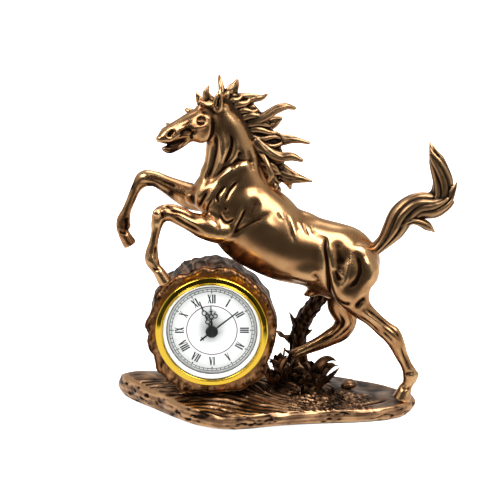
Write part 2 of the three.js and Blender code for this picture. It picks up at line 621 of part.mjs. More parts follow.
// Going train: seconds wheel to the fifth, the rotor, the third and the centre wheel.
const fifthMesh = meshed(60, 12, centrePlace, fifthPlace, 0);
const rotorMesh = meshed(60, 10, fifthPlace, rotorPlace, 0);
const thirdMesh = meshed(8, 60, centrePlace, thirdPlace, 0);
const centreMesh = meshed(8, 64, thirdPlace, centrePlace, 0);

const secondsArborFront = secondFront + 0.4;
const pipeBack = centreLayer + wheelThickness + 0.4;

function makeSecondsWheel() {
  const shaft = arbor(secondsArborFront, arborBack, centrePlace);
  const wheels = [wheel(60, fifthMesh.driver, secondsLayer, 0), wheel(8, thirdMesh.driver, thirdLayer, 0)];
  return join([shaft, ...wheels]);
}

function makeMinutePipe() {
  const pipe = disc(minutePipe.outer, minuteFront, pipeBack, 24).add(wheel(12, minuteMesh.driver, minuteLayer, 0));
  return pipe.subtract(disc(minutePipe.inner, minuteFront - 1, pipeBack + 1, 24));
}

function makeHourWheel() {
  const pipe = disc(hourPipe.outer, hourFront, hourLayer + wheelThickness, 24);
  const toothed = pipe.add(wheel(40, hourMesh.driven, hourLayer, hourMesh.drivenTurn));
  return toothed.subtract(disc(hourPipe.inner, hourFront - 1, hourLayer + 2, 24));
}

const makeCentreWheel = () =>
  wheel(64, centreMesh.driven, centreLayer, centreMesh.drivenTurn).subtract(
    disc(minutePipe.outer + hairline, centreLayer - 1, centreLayer + 2, 24),
  );

function makeThirdWheel() {
  const pinion = wheel(8, centreMesh.driver, centreLayer, 0);
  const large = wheel(60, thirdMesh.driven, thirdLayer, thirdMesh.drivenTurn);
  return join([arbor(arborFront, arborBack, thirdPlace), moved(pinion, thirdPlace), moved(large, thirdPlace)]);
}

function makeFifthWheel() {
  const pinion = wheel(12, fifthMesh.driven, secondsLayer, fifthMesh.drivenTurn);
  const large = wheel(60, rotorMesh.driver, fifthLayer, 0);
  return join([arbor(arborFront, arborBack, fifthPlace), moved(pinion, fifthPlace), moved(large, fifthPlace)]);
}

function makeMotionWheel() {
  const pinion = wheel(10, hourMesh.driver, hourLayer, 0);
  const large = wheel(36, minuteMesh.driven, minuteLayer, minuteMesh.drivenTurn);
  const post = arbor(arborFront, minuteLayer + wheelThickness + 0.2, motionPlace);
  return join([post, moved(pinion, motionPlace), moved(large, motionPlace)]);
}

const magnetRadius = 2.4;
function makeRotor() {
  const magnet = moved(disc(magnetRadius, plateBack + 2.2, thirdLayer, 24), rotorPlace);
  const pinion = wheel(10, rotorMesh.driven, fifthLayer, rotorMesh.drivenTurn);
  return join([arbor(arborFront, arborBack, rotorPlace), magnet, moved(pinion, rotorPlace)]);
}

const knobStem = 1;
function makeKnob() {
  const head = new THREE.Shape();
  const grips = 18;
  for (let k = 0; k < grips * 2; k++) {
    const radius = knobRadius - (k % 2) * 0.4;
    const turn = turnOf(k, grips * 2);
    const [x, y] = [radius * Math.sin(turn), radius * Math.cos(turn)];
    if (k === 0) head.moveTo(x, y);
    else head.lineTo(x, y);
  }
  const grip = stamped(head, caseDepth + 0.5, knobHeight);
  const stem = disc(knobStem, minuteLayer, caseDepth + 1, 16);
  return moved(join([grip, stem, wheel(12, knobMesh.driven, minuteLayer, knobMesh.drivenTurn)]), knobPlace);
}

// ---- Electrics -----------------------------------------------------------------------------
// The stator is one stamping: a bridge around the rotor and two arms down to the coil.
const coilHeight = -19.8;
const statorFront = plateBack + 2.8;
const [armLeft, armRight] = [-10, 13];
const armWidth = 3.5;
function makeStator() {
  const [top, bottom, foot] = [-7.6, -15.2, -22.5];
  const shape = outline([
    [armLeft, foot], [armLeft + armWidth, foot], [armLeft + armWidth, bottom], [armRight - armWidth, bottom],
    [armRight - armWidth, foot], [armRight, foot], [armRight, top], [armLeft, top],
  ]);
  const hole = new THREE.Path();
  hole.absarc(rotorPlace[0], rotorPlace[1], magnetRadius + 0.6, 0, 2 * Math.PI, true);
  shape.holes.push(hole);
  return stamped(shape, statorFront, 1, 24);
}

// The winding lies across between the arms of the stator.
function makeCoil() {
  const [left, right] = [armLeft + armWidth + fitGap, armRight - armWidth - fitGap];
  const spool = lathe(
    [[0, left], [3.1, left], [3.1, left + 0.8], [2.7, left + 0.8], [2.7, right - 0.8], [3.1, right - 0.8],
      [3.1, right], [0, right]],
    20,
  );
  return spool.rotate([0, 0, -90]).translate([0, statorFront + 0.5, coilHeight]);
}

const boardFront = plateBack + 0.8;
const makeBoard = () => stamped(rectangle(-24, -12, -13.5, 8), boardFront, 1);
function makeCrystalCan() {
  const can = standing(1, 6, 16);
  return can.translate([-18.5, boardFront + 1 + hairline + 1, -6]);
}

const makeCell = () => moved(disc(cellRadius, pocketFloor + 0.7, pocketFloor + 0.7 + cellThickness, 32), cellPlace);
const makeNegative = () => moved(disc(cellRadius - 1.5, pocketFloor + 0.2, pocketFloor + 0.5, 24), cellPlace);

// A sprung strip that lies along the side of the cell.
function makePositive() {
  const [inner, outer] = [cellRadius + hairline, cellRadius + 0.35];
  const [from, to] = [(Math.PI * 5) / 6, (Math.PI * 7) / 6];
  const shape = new THREE.Shape();
  shape.absarc(0, 0, outer, from, to, false);
  shape.absarc(0, 0, inner, to, from, true);
  return moved(stamped(shape, pocketFloor + 0.8, 4), cellPlace);
}

// ---- Assembly ------------------------------------------------------------------------------
function mesh(name, body, material) {
  const made = new THREE.Mesh(geometryOf(body), material);
  made.name = name;
  return made;
}

const grownStump = () => makeLog(fitGap).add(makeRoots(fitGap));
// The way that the clock takes as it is drawn out to the front.
const clockWay = () =>
  disc(bezelRadius + fitGap, -bezelHeight - 2 * caseDepth, woodFace).translate([
    clockCentre.x,
    stumpFront - woodFace,
    clockCentre.z,
  ]);
const rockNeighbours = [
  grownStump(),
  clockWay(),
  sculpted([...branchForms, ...fernForms, leftHindLeg, rightHindLeg, pebble], fitGap),
  makeDowel(fitGap),
];

const statue = new THREE.Group();
statue.add(
  mesh("base", makeRock(rockNeighbours), bronze),
  mesh("felt_sheet", makeFelt(), felt),
  mesh("stump", makeStump(), darkBronze),
  mesh("horse_body", makeHorseBody(), bronze),
  mesh("left_foreleg", limb(leftForeleg), bronze),
  mesh("right_foreleg", limb(rightForeleg), bronze),
  mesh("left_hind_leg", makeStandingLeg(), bronze),
  mesh("right_hind_leg", limb(rightHindLeg), bronze),
  mesh("hind_leg_pin", makeDowel(), steel),
  mesh("tail", makeTail(), darkBronze),
  mesh("mane", makeMane(), darkBronze),
  mesh("dead_branch", makeBranch(), darkBronze),
  mesh("fern_clump", makeFerns(), darkBronze),
  mesh("pebble", makePebble(), bronze),
);

const clock = new THREE.Group();
clock.position.set(clockCentre.x, stumpFront - woodFace, clockCentre.z);
clock.add(
  mesh("bezel", makeBezel(), gold),
  mesh("crystal", makeCrystal(), clear),
  mesh("dial_ring", makeDialRing(), whitePlastic),
  mesh("dial", makeDial(), dialWhite),
  mesh("movement_case", makeCase(), blackPlastic),
  mesh("movement_plate", makePlate(), whitePlastic),
  mesh("friction_ring", makeRing(), rubber),
  mesh("hour_hand", makeHourHand(), handBlack),
  mesh("minute_hand", makeMinuteHand(), handBlack),
  mesh("second_hand", makeSecondHand(), handBlack),
  mesh("hour_wheel", makeHourWheel(), whitePlastic),
  mesh("minute_pipe", makeMinutePipe(), brass),
  mesh("seconds_wheel", makeSecondsWheel(), whitePlastic),
  mesh("centre_wheel", makeCentreWheel(), whitePlastic),
  mesh("third_wheel", makeThirdWheel(), whitePlastic),
  mesh("fifth_wheel", makeFifthWheel(), whitePlastic),
  mesh("rotor", makeRotor(), steel),
  mesh("motion_wheel", makeMotionWheel(), whitePlastic),
  mesh("setting_knob", makeKnob(), blackPlastic),
  mesh("stator", makeStator(), steel),
  mesh("coil", makeCoil(), copper),
  mesh("circuit_board", makeBoard(), boardGreen),
  mesh("quartz_can", makeCrystalCan(), steel),
  mesh("button_cell", makeCell(), steel),
  mesh("contact_negative", makeNegative(), steel),
  mesh("contact_positive", makePositive(), steel),
);
statue.add(clock);

export default statue;
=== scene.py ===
# %% [markdown]
# # A rearing bronze horse with a clock in a tree stump
# The statuette is a group of castings: a horse, a hollow stump, a slab of rock and the plants on it,
# all in cold-cast bronze. A round quartz clock is pushed into the stump from the front.
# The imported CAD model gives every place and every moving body. This script builds the fine surfaces
# around it, one cell at a time. Shapes are worked out in millimetres and stored in metres.

# %% Load the frame
import math

import bpy
import numpy as np
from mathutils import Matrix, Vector


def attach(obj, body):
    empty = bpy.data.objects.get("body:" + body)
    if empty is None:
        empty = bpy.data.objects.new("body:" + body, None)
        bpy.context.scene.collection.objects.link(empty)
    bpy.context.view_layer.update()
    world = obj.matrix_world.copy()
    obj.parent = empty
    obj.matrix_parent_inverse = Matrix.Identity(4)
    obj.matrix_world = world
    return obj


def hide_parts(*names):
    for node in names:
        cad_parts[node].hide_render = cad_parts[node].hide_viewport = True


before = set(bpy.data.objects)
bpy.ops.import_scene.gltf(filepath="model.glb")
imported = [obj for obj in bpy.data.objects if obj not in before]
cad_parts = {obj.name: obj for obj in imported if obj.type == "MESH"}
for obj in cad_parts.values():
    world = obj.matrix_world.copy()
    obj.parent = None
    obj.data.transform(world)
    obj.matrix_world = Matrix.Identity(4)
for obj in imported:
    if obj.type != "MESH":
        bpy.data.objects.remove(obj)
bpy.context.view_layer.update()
MM = 0.001

# %% [markdown]
# ## Camera, floor and light
# A small polished object is shown by what it mirrors. The set is a white table: a pale
# floor, one broad soft light above the camera, a second at the back, and a room that is dark at eye
# height. The dark room draws the brown band along the barrel and the broad light draws its highlight.

# %% Camera
TARGET = np.array([-11.3, 0.0, 104.3])  # what the lens points at, in the middle of the view
DISTANCE = 1100.0
ELEVATION = math.radians(14)
LENS = 125.7  # on a 36 mm sensor

camera_data = bpy.data.cameras.new("camera")
camera_data.lens = LENS
camera_data.clip_start = 0.05
camera = bpy.data.objects.new("camera", camera_data)
bpy.context.scene.collection.objects.link(camera)
away = np.array([0.0, -math.cos(ELEVATION), math.sin(ELEVATION)])
camera.location = (TARGET + DISTANCE * away) * MM
camera.rotation_euler = (math.pi / 2 - ELEVATION, 0, 0)
bpy.context.scene.camera = camera
print("camera at", [round(v, 3) for v in camera.location])


# %% Colour and node helpers
def linear(hex_colour):
    """sRGB hex to linear: each channel c becomes ((c + 0.055) / 1.055) ** 2.4 above the toe."""
    channels = [int(hex_colour[i : i + 2], 16) / 255 for i in (1, 3, 5)]
    return [c / 12.92 if c <= 0.04045 else ((c + 0.055) / 1.055) ** 2.4 for c in channels] + [1.0]


def add(tree, kind, settings=None, **inputs):
    """Adds one node. settings are its properties; inputs are values, or (node, output) links."""
    node = tree.nodes.new(kind)
    for key, value in (settings or {}).items():
        setattr(node, key, value)
    for key, value in inputs.items():
        if key[0] == "i" and key[1:].isdigit():
            socket = node.inputs[int(key[1:])]
        else:
            socket = node.inputs[key.replace("_", " ")]
        if isinstance(value, tuple) and hasattr(value[0], "outputs"):
            tree.links.new(value[0].outputs[value[1]], socket)
        else:
            socket.default_value = value
    return node


SMOOTH = {"interpolation_type": "SMOOTHSTEP"}


def new_material(name):
    material = bpy.data.materials.new(name)
    material.use_nodes = True
    material.node_tree.nodes.clear()
    return material, material.node_tree


# %% Room and lights
scene = bpy.context.scene
scene.view_settings.view_transform = "Standard"
scene.world = bpy.data.worlds.new("room")
scene.world.use_nodes = True
room = scene.world.node_tree
room.nodes.clear()
ray = add(room, "ShaderNodeTexCoord")
split = add(room, "ShaderNodeSeparateXYZ", Vector=(ray, "Generated"))
# The room by height: below and at eye level it is dark towards the viewer, the ceiling is mid grey.
heights = add(room, "ShaderNodeMapRange", Value=(split, "Z"), From_Min=-1.0, From_Max=1.0)
walls = add(room, "ShaderNodeValToRGB", Fac=(heights, "Result"))
walls.color_ramp.elements[0].position = 0.0
walls.color_ramp.elements[0].color = (0.75, 0.75, 0.75, 1)
walls.color_ramp.elements[1].position = 1.0
walls.color_ramp.elements[1].color = (0.3, 0.3, 0.3, 1)
for position, level in ((0.46, 0.06), (0.50, 0.02), (0.8, 0.02), (0.9, 0.06)):
    walls.color_ramp.elements.new(position).color = (level, level, level, 1)
# To the sides and behind, the walls are pale.
sideways = add(room, "ShaderNodeMath", {"operation": "ABSOLUTE"}, i0=(split, "X"))
aside = add(room, "ShaderNodeMapRange", SMOOTH, Value=(sideways, "Value"), From_Min=0.56, From_Max=0.86)
behind = add(room, "ShaderNodeMapRange", SMOOTH, Value=(split, "Y"), From_Min=-0.2, From_Max=0.4)
pale = add(room, "ShaderNodeMath", {"operation": "MAXIMUM"}, i0=(aside, "Result"), i1=(behind, "Result"))
lit_walls = add(room, "ShaderNodeMix", {"data_type": "RGBA"}, Factor=(pale, "Value"))
room.links.new(walls.outputs["Color"], lit_walls.inputs[6])
lit_walls.inputs[7].default_value = (0.5, 0.49, 0.47, 1)
seen = add(room, "ShaderNodeLightPath")
dim = add(room, "ShaderNodeBackground", Strength=1.0)
room.links.new(lit_walls.outputs[2], dim.inputs["Color"])
white = add(room, "ShaderNodeBackground", Color=(1, 1, 1, 1), Strength=1.0)
mixed = add(
    room, "ShaderNodeMixShader", i0=(seen, "Is Glossy Ray"), i1=(white, "Background"), i2=(dim, "Background"),
)
add(room, "ShaderNodeOutputWorld", Surface=(mixed, "Shader"))


def soft_light(name, place, size, watts):
    """A square area light at a place in millimetres, turned to the middle of the statuette."""
    data = bpy.data.lights.new(name, "AREA")
    data.shape = "SQUARE"
    data.size = size * MM
    data.energy = watts
    light = bpy.data.objects.new(name, data)
    scene.collection.objects.link(light)
    light.location = np.array(place) * MM
    towards = Vector((TARGET - np.array(place)) * MM)
    light.rotation_euler = towards.to_track_quat("-Z", "Y").to_euler()
    return light


# The metal mirrors the soft boxes; the wash lights only brighten matt surfaces and make the shadow.
soft_light("right_box", (500, -640, 930), 760, 10)
soft_light("left_box", (-640, -600, 860), 520, 5.2)
soft_light("top_box", (100, 350, 1050), 600, 2.8)
for name, place, size, watts in (("wash", (-250, -900, 900), 1100, 6), ("back_wash", (350, 300, 1200), 800, 7)):
    soft_light(name, place, size, watts).visible_glossy = False

# The table is white where the camera sees it. What the metal mirrors is its near part, which is
# bright, and then its front edge with the dark room behind it, and whoever stands there.
floor_mesh = bpy.data.meshes.new("floor")
reach = 6.0
floor_mesh.from_pydata(
    [(-reach, -reach, 0), (reach, -reach, 0), (reach, reach, 0), (-reach, reach, 0)], [], [(0, 1, 2, 3)],
)
floor = bpy.data.objects.new("floor", floor_mesh)
scene.collection.objects.link(floor)
paper, tree = new_material("white_paper")
shade = add(tree, "ShaderNodeBsdfDiffuse", Color=linear("#F6F6F6"))
glow = add(tree, "ShaderNodeEmission", Color=(1, 1, 1, 1), Strength=0.8)
both = add(tree, "ShaderNodeAddShader", i0=(shade, "BSDF"), i1=(glow, "Emission"))
spot = add(tree, "ShaderNodeSeparateXYZ", Vector=(add(tree, "ShaderNodeTexCoord"), "Object"))
beyond = add(
    tree, "ShaderNodeMapRange", SMOOTH, Value=(spot, "Y"), From_Min=-0.29, From_Max=-0.22, To_Min=1.0,
    To_Max=0.0,
)
front = add(
    tree, "ShaderNodeMapRange", SMOOTH, Value=(spot, "Y"), From_Min=-0.23, From_Max=-0.13, To_Min=1.0,
    To_Max=0.0,
)
from_middle = add(tree, "ShaderNodeMath", {"operation": "SUBTRACT"}, i0=(spot, "X"), i1=0.02)
off_middle = add(tree, "ShaderNodeMath", {"operation": "ABSOLUTE"}, i0=(from_middle, "Value"))
middle = add(
    tree, "ShaderNodeMapRange", SMOOTH, Value=(off_middle, "Value"), From_Min=0.08, From_Max=0.16, To_Min=1.0,
    To_Max=0.0,
)
viewer = add(tree, "ShaderNodeMath", {"operation": "MULTIPLY"}, i0=(front, "Result"), i1=(middle, "Result"))
dark = add(tree, "ShaderNodeMath", {"operation": "MAXIMUM"}, i0=(viewer, "Value"), i1=(beyond, "Result"))
edge = add(tree, "ShaderNodeMapRange", Value=(dark, "Value"), To_Min=0.92, To_Max=0.04)
mirrored = add(tree, "ShaderNodeEmission", Color=(1.0, 0.98, 0.95, 1), Strength=(edge, "Result"))
looked_at = add(tree, "ShaderNodeLightPath")
paper_end = add(
    tree, "ShaderNodeMixShader", i0=(looked_at, "Is Glossy Ray"), i1=(both, "Shader"),
    i2=(mirrored, "Emission"),
)
add(tree, "ShaderNodeOutputMaterial", Surface=(paper_end, "Shader"))
floor.data.materials.append(paper)

# %% [markdown]
# ## Shapes as arrays
# Everything sculpted here is a closed skin over rings: a section carried along a path. A horse could be
# pulled out of a subdivided cube by hand, but a list of stations says what a sculptor measures, which is
# where the middle of a limb runs and how high and wide it is there.


# %% Skins over rings
def through(stations, steps):
    """Runs a cubic curve through the rows of stations and returns `steps` rows at even distances.
    Each row is a Hermite blend of its two neighbours and of their slopes, by the length of the path."""
    rows = np.asarray(stations, float)
    length = np.concatenate([[0], np.cumsum(np.linalg.norm(np.diff(rows[:, :3], axis=0), axis=1))])
    slopes = np.gradient(rows, length, axis=0)
    at = np.linspace(0, length[-1], steps)
    i = np.clip(np.searchsorted(length, at, side="right") - 1, 0, len(rows) - 2)
    span = (length[i + 1] - length[i])[:, None]
    t = (at[:, None] - length[i][:, None]) / span
    return (
        (2 * t**3 - 3 * t**2 + 1) * rows[i]
        + (t**3 - 2 * t**2 + t) * span * slopes[i]
        + (3 * t**2 - 2 * t**3) * rows[i + 1]
        + (t**3 - t**2) * span * slopes[i + 1]
    )


def unit(vectors):
    return vectors / np.maximum(np.linalg.norm(vectors, axis=-1, keepdims=True), 1e-12)


def closed_skin(rings):
    """rings is (count, around, 3). Quads join each ring to the next, and a fan closes each end."""
    count, around = rings.shape[:2]
    points = np.concatenate([rings.reshape(-1, 3), rings[:1].mean(1), rings[-1:].mean(1)])
    i, k = np.meshgrid(np.arange(count - 1), np.arange(around), indexing="ij")
    a, b = i * around + k, i * around + (k + 1) % around
    quads = np.stack([a, b, b + around, a + around], -1).reshape(-1, 4)
    k = np.arange(around)
    first, last = count * around, count * around + 1
    start = np.stack([(k + 1) % around, k, np.full(around, first)], -1)
    top = (count - 1) * around
    end = np.stack([top + k, top + (k + 1) % around, np.full(around, last)], -1)
    return points, [quads, np.concatenate([start, end])]


def tube(stations, steps=None, around=40, lobes=0, groove=0.0, twist=0.0, flat_end=False):
    """A section carried along stations [x, y, z, high, wide]: point = centre + up * high * sin(turn) +
    across * wide * cos(turn). lobes cuts that many sharp valleys, which wind by `twist` turns."""
    total = np.linalg.norm(np.diff(np.asarray(stations, float)[:, :3], axis=0), axis=1).sum()
    steps = steps or max(12, int(total / 0.9))
    rows = through(stations, steps)
    centre, high, wide = rows[:, :3], np.maximum(rows[:, 3], 0.15), np.maximum(rows[:, 4], 0.15)
    along = unit(np.gradient(centre, axis=0))
    depthward = np.array([0.0, 1.0, 0.0])
    across = unit(depthward - along * along[:, 1:2])
    up = np.cross(across, along)
    # Rounded ends: four more rings that shrink on a quarter circle.
    bow = np.linspace(0, math.pi / 2, 6)[1:-1]
    shrink, push = np.cos(bow), np.sin(bow)
    head = [(0, c, -s) for c, s in zip(shrink[::-1], push[::-1])]
    tail = [] if flat_end else [(steps - 1, c, s) for c, s in zip(shrink, push)]
    order = np.array([h[0] for h in head] + list(range(steps)) + [t[0] for t in tail])
    scale = np.array([h[1] for h in head] + [1.0] * steps + [t[1] for t in tail])
    shift = np.array([h[2] for h in head] + [0.0] * steps + [t[2] for t in tail])
    round_off = np.minimum(high, wide)[order] * shift
    turn = np.linspace(0, 2 * math.pi, around, endpoint=False)[None, :]
    share = (order / (steps - 1))[:, None]
    valley = np.abs(np.sin((turn + 2 * math.pi * twist * share) * lobes / 2)) ** 0.7 if lobes else 1.0
    radius = (1 - groove + groove * valley) * scale[:, None]
    rings = (
        centre[order][:, None]
        + along[order][:, None] * round_off[:, None, None]
        + up[order][:, None] * (high[order][:, None] * np.sin(turn) * radius)[..., None]
        + across[order][:, None] * (wide[order][:, None] * np.cos(turn) * radius)[..., None]
    )
    return closed_skin(rings)


BLOB_STEPS = 32  # round a blob


def blob(centre, radii, lean=0.0):
    """An ellipsoid with half sizes along its own X, Y and Z, leant by `lean` degrees in the XZ plane."""
    polar = np.linspace(0, math.pi, BLOB_STEPS // 2 + 1)[1:-1, None]
    turn = np.linspace(0, 2 * math.pi, BLOB_STEPS, endpoint=False)[None, :]
    x = radii[0] * np.cos(polar) * np.ones_like(turn)
    y = radii[1] * np.sin(polar) * np.cos(turn)
    z = radii[2] * np.sin(polar) * np.sin(turn)
    c, s = math.cos(math.radians(lean)), math.sin(math.radians(lean))
    rings = np.stack([c * x - s * z, y, s * x + c * z], -1) + np.asarray(centre, float)
    return closed_skin(rings)


def gathered(shells):
    """Several shells as one set of points and faces."""
    points, quads, tris, start = [], [], [], 0
    for shell_points, (shell_quads, shell_tris) in shells:
        points.append(shell_points)
        quads.append(shell_quads + start)
        tris.append(shell_tris + start)
        start += len(shell_points)
    return np.concatenate(points), [np.concatenate(quads), np.concatenate(tris)]


# %% Meshes from arrays, and back
def mesh_from(name, points, faces):
    """Writes points and face arrays into a mesh."""
    mesh = bpy.data.meshes.new(name)
    corners = np.concatenate([f.ravel() for f in faces]).astype(np.int32)
    totals = np.concatenate([np.full(len(f), f.shape[1]) for f in faces])
    mesh.vertices.add(len(points))
    mesh.vertices.foreach_set("co", np.ascontiguousarray(points, np.float32).ravel())
    mesh.loops.add(len(corners))
    mesh.loops.foreach_set("vertex_index", corners)
    mesh.polygons.add(len(totals))
    mesh.polygons.foreach_set("loop_start", np.concatenate([[0], np.cumsum(totals)[:-1]]).astype(np.int32))
    mesh.update(calc_edges=True)
    mesh.validate()
    return mesh


def vertices_of(mesh, what="co"):
    values = np.empty(len(mesh.vertices) * 3, np.float32)
    if what == "normal":
        mesh.vertex_normals.foreach_get("vector", values)
    else:
        mesh.vertices.foreach_get("co", values)
    return values.reshape(-1, 3).astype(float)


def set_vertices(mesh, points):
    mesh.vertices.foreach_set("co", np.ascontiguousarray(points, np.float32).ravel())
    mesh.update()


def edges_of(mesh):
    pairs = np.empty(len(mesh.edges) * 2, np.int32)
    mesh.edges.foreach_get("vertices", pairs)
    return pairs.reshape(-1, 2)


def neighbour_mean(values, pairs):
    """The mean of each vertex's neighbours: sums over both ends of every edge, divided by their count."""
    count = np.maximum(np.bincount(pairs.ravel(), minlength=len(values)), 1)
    columns = values.reshape(len(values), -1)
    sums = [
        np.bincount(pairs[:, 0], columns[pairs[:, 1], c], len(values))
        + np.bincount(pairs[:, 1], columns[pairs[:, 0], c], len(values))
        for c in range(columns.shape[1])
    ]
    return (np.stack(sums, -1) / count[:, None]).reshape(values.shape)


def fused(name, shells, voxel, relax):
    """Joins closed shells into one skin on a grid of `voxel` mm, then relaxes it `relax` times."""
    points, faces = gathered(shells)
    work = bpy.data.objects.new(name, mesh_from(name, points, faces))
    scene.collection.objects.link(work)
    remesh = work.modifiers.new("remesh", "REMESH")
    remesh.mode = "VOXEL"
    remesh.voxel_size = voxel
    smooth = work.modifiers.new("relax", "SMOOTH")
    smooth.iterations = relax
    evaluated = work.evaluated_get(bpy.context.evaluated_depsgraph_get())
    mesh = bpy.data.meshes.new_from_object(evaluated)
    bpy.data.objects.remove(work)
    mesh.name = name
    print(name, "fused:", len(mesh.vertices), "vertices")
    return mesh


def hollows(mesh, reach=3):
    """How hollow each vertex lies: the height of its neighbours' mean over it along its normal,
    averaged `reach` times. Grooves are positive, ridges negative."""
    points, normals, pairs = vertices_of(mesh), vertices_of(mesh, "normal"), edges_of(mesh)
    around = points
    for _ in range(reach):
        around = neighbour_mean(around, pairs)
    height = ((around - points) * normals).sum(1)
    for _ in range(2):
        height = neighbour_mean(height, pairs)
    return height


def store(mesh, name, values):
    layer = mesh.attributes.get(name) or mesh.attributes.new(name, "FLOAT", "POINT")
    layer.data.foreach_set("value", np.ascontiguousarray(values, np.float32))


def piece(name, mesh, material, body, stands_for=()):
    """Scales a mesh from millimetres to metres, shows it with a material and lets it ride on a body."""
    set_vertices(mesh, vertices_of(mesh) * MM)
    mesh.polygons.foreach_set("use_smooth", np.ones(len(mesh.polygons), bool))
    mesh.materials.clear()
    mesh.materials.append(material)
    made = bpy.data.objects.new(name, mesh)
    scene.collection.objects.link(made)
    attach(made, body)
    if stands_for:
        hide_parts(*stands_for)
    print(name, len(mesh.polygons), "faces")
    return made


# %% [markdown]
# ## Carving
# Muscles, ribs and veins are not modelled one by one. Like a modelling tool pulled over wax, a stroke
# follows a line drawn in the side view, lies on the skin there, and presses it in or pulls it out across
# a few millimetres. The same stroke can also hold the dark patina that collects in a hollow.


# %% The carving strokes
def laid_on(points, line, side):
    """Draws a curve through the XZ points of line, every 0.8 mm, and drops each onto the skin:
    of the vertices within 1 mm in the side view it takes the one furthest towards `side` in Y."""
    length = np.linalg.norm(np.diff(np.asarray(line, float), axis=0), axis=1).sum()
    path = through([[x, 0.0, z] for x, z in line], max(3, int(length / 0.8)))
    found = []
    for x, _, z in path:
        near = np.flatnonzero((np.abs(points[:, 0] - x) < 1.0) & (np.abs(points[:, 2] - z) < 1.0))
        if len(near):
            found.append([x, side * (points[near, 1] * side).max(), z])
    if len(found) < 3:
        return np.array(found)
    # The depths are evened out along the curve, so that a stroke does not stagger.
    path, window = np.array(found), np.ones(5) / 5
    path[:, 1] = np.convolve(np.pad(path[:, 1], 2, mode="edge"), window, mode="valid")
    return path


def stroke_weight(points, path, width, fade):
    """exp(-(distance / width)^2) around a laid path, falling to nothing over `fade` of it at both ends."""
    weight = np.zeros(len(points))
    if len(path) == 0:
        return weight
    near = np.flatnonzero(((points > path.min(0) - 2.6 * width) & (points < path.max(0) + 2.6 * width)).all(1))
    apart = np.linalg.norm(points[near, None] - path[None], axis=2)
    nearest = apart.argmin(1)
    share = nearest / max(len(path) - 1, 1)
    long_enough = len(path) * 0.8 > 5 * width
    ends = np.clip(np.minimum(share, 1 - share) / fade, 0, 1) if fade and long_enough else 1.0
    weight[near] = np.exp(-((apart.min(1) / width) ** 2)) * (0.2 + 0.8 * ends)
    return weight


def carve(mesh, strokes, sides=(-1,), mirror=None, fade=0.25):
    """Each stroke is (width, depth, dark, line). Adds up depth * weight along the normals, and returns
    the sum of dark * weight. mirror is a function that copies a laid path to the other side."""
    points, normals, pairs = vertices_of(mesh), vertices_of(mesh, "normal"), edges_of(mesh)
    for _ in range(4):
        normals = unit(neighbour_mean(normals, pairs))
    shift, dark = np.zeros(len(points)), np.zeros(len(points))
    for width, depth, stain, line in strokes:
        paths = [laid_on(points, line, side) for side in sides]
        if mirror is not None and len(paths[0]):
            paths.append(mirror(paths[0]))
        for path in paths:
            weight = stroke_weight(points, path, width, fade)
            shift += depth * weight
            dark += stain * weight
    set_vertices(mesh, points + normals * shift[:, None])
    return dark


def noise_of(points, scale, seed, octaves=3):
    """A seeded sum of sine waves in random directions, each octave half as high and twice as fine."""
    rng = np.random.default_rng(seed)
    total = np.zeros(points.shape[:-1])
    for octave in range(octaves):
        directions = unit(rng.normal(size=(7, 3))) * 2 * math.pi * 2**octave / scale
        total += np.sin(points @ directions.T + rng.uniform(0, 2 * math.pi, 7)).sum(-1) / 2.6 / 2**octave
    return total

# %% [markdown]
# ## The horse
# The body and the legs are separate castings, glued and filled before the finish goes on, so no seam
# shows. They are modelled here as one skin. Each form is a tube of stations [x, y, z, high, wide]; the
# shells are fused on a fine grid, softened where the muscles run into each other, and then carved.

# %% Stations of the horse
torso = [
    [-47.5, -1, 138.5, 5, 5], [-39.5, -1, 139.5, 15, 12.5], [-23, -1, 134, 23, 16], [-6.5, -1, 120, 26.5, 18],
    [11.5, 0, 107.5, 23.5, 19], [28, 0, 103, 22.5, 18], [42, 0, 98, 23.5, 17], [55.5, 0, 93, 20, 15],
]
neck = [
    [-19, -1, 139, 23, 14], [-21.5, -1, 153.5, 19.5, 13], [-23, -2, 165.5, 17, 10.5], [-25, -3, 176, 14, 9],
    [-27.5, -4, 185.5, 11.5, 8], [-29.5, -5, 193.5, 7, 6.5],
]
head = [
    [-28.5, -4, 192, 7.5, 6], [-34, -6, 189.5, 11, 7], [-40, -9, 186, 12, 7.5], [-47.5, -13, 185, 9, 7],
    [-53.5, -16, 184, 6.5, 5.5], [-59, -19, 182, 5.5, 5], [-63, -21, 180.5, 5, 5], [-66, -23, 179.5, 2.5, 3],
]
jaw = [
    [-46, -11.5, 180, 3, 4], [-49.5, -13, 177.8, 2.9, 4], [-53.5, -15, 175.3, 2.9, 3.7],
    [-57.5, -17, 173.2, 2.8, 3.7],
    [-61.5, -19, 172.4, 2.7, 3.2], [-63.5, -20, 172.8, 1.7, 2.2],
]
near_ear = [
    [-31.6, -8, 191.5, 3.4, 3], [-31.4, -10.5, 198.5, 3.9, 2.8], [-30.4, -11, 203.5, 2.5, 2],
    [-29.4, -10.5, 208.3, 0.5, 0.7],
]
far_ear = [[-38, -3.5, 193, 3, 3], [-42.5, -3, 200.5, 2.5, 2], [-44.5, -3, 205.5, 0.5, 0.5]]
sheath = [[34, 0, 82, 5, 5], [26, 0, 76, 3, 4], [23, 0, 75, 1.5, 2]]
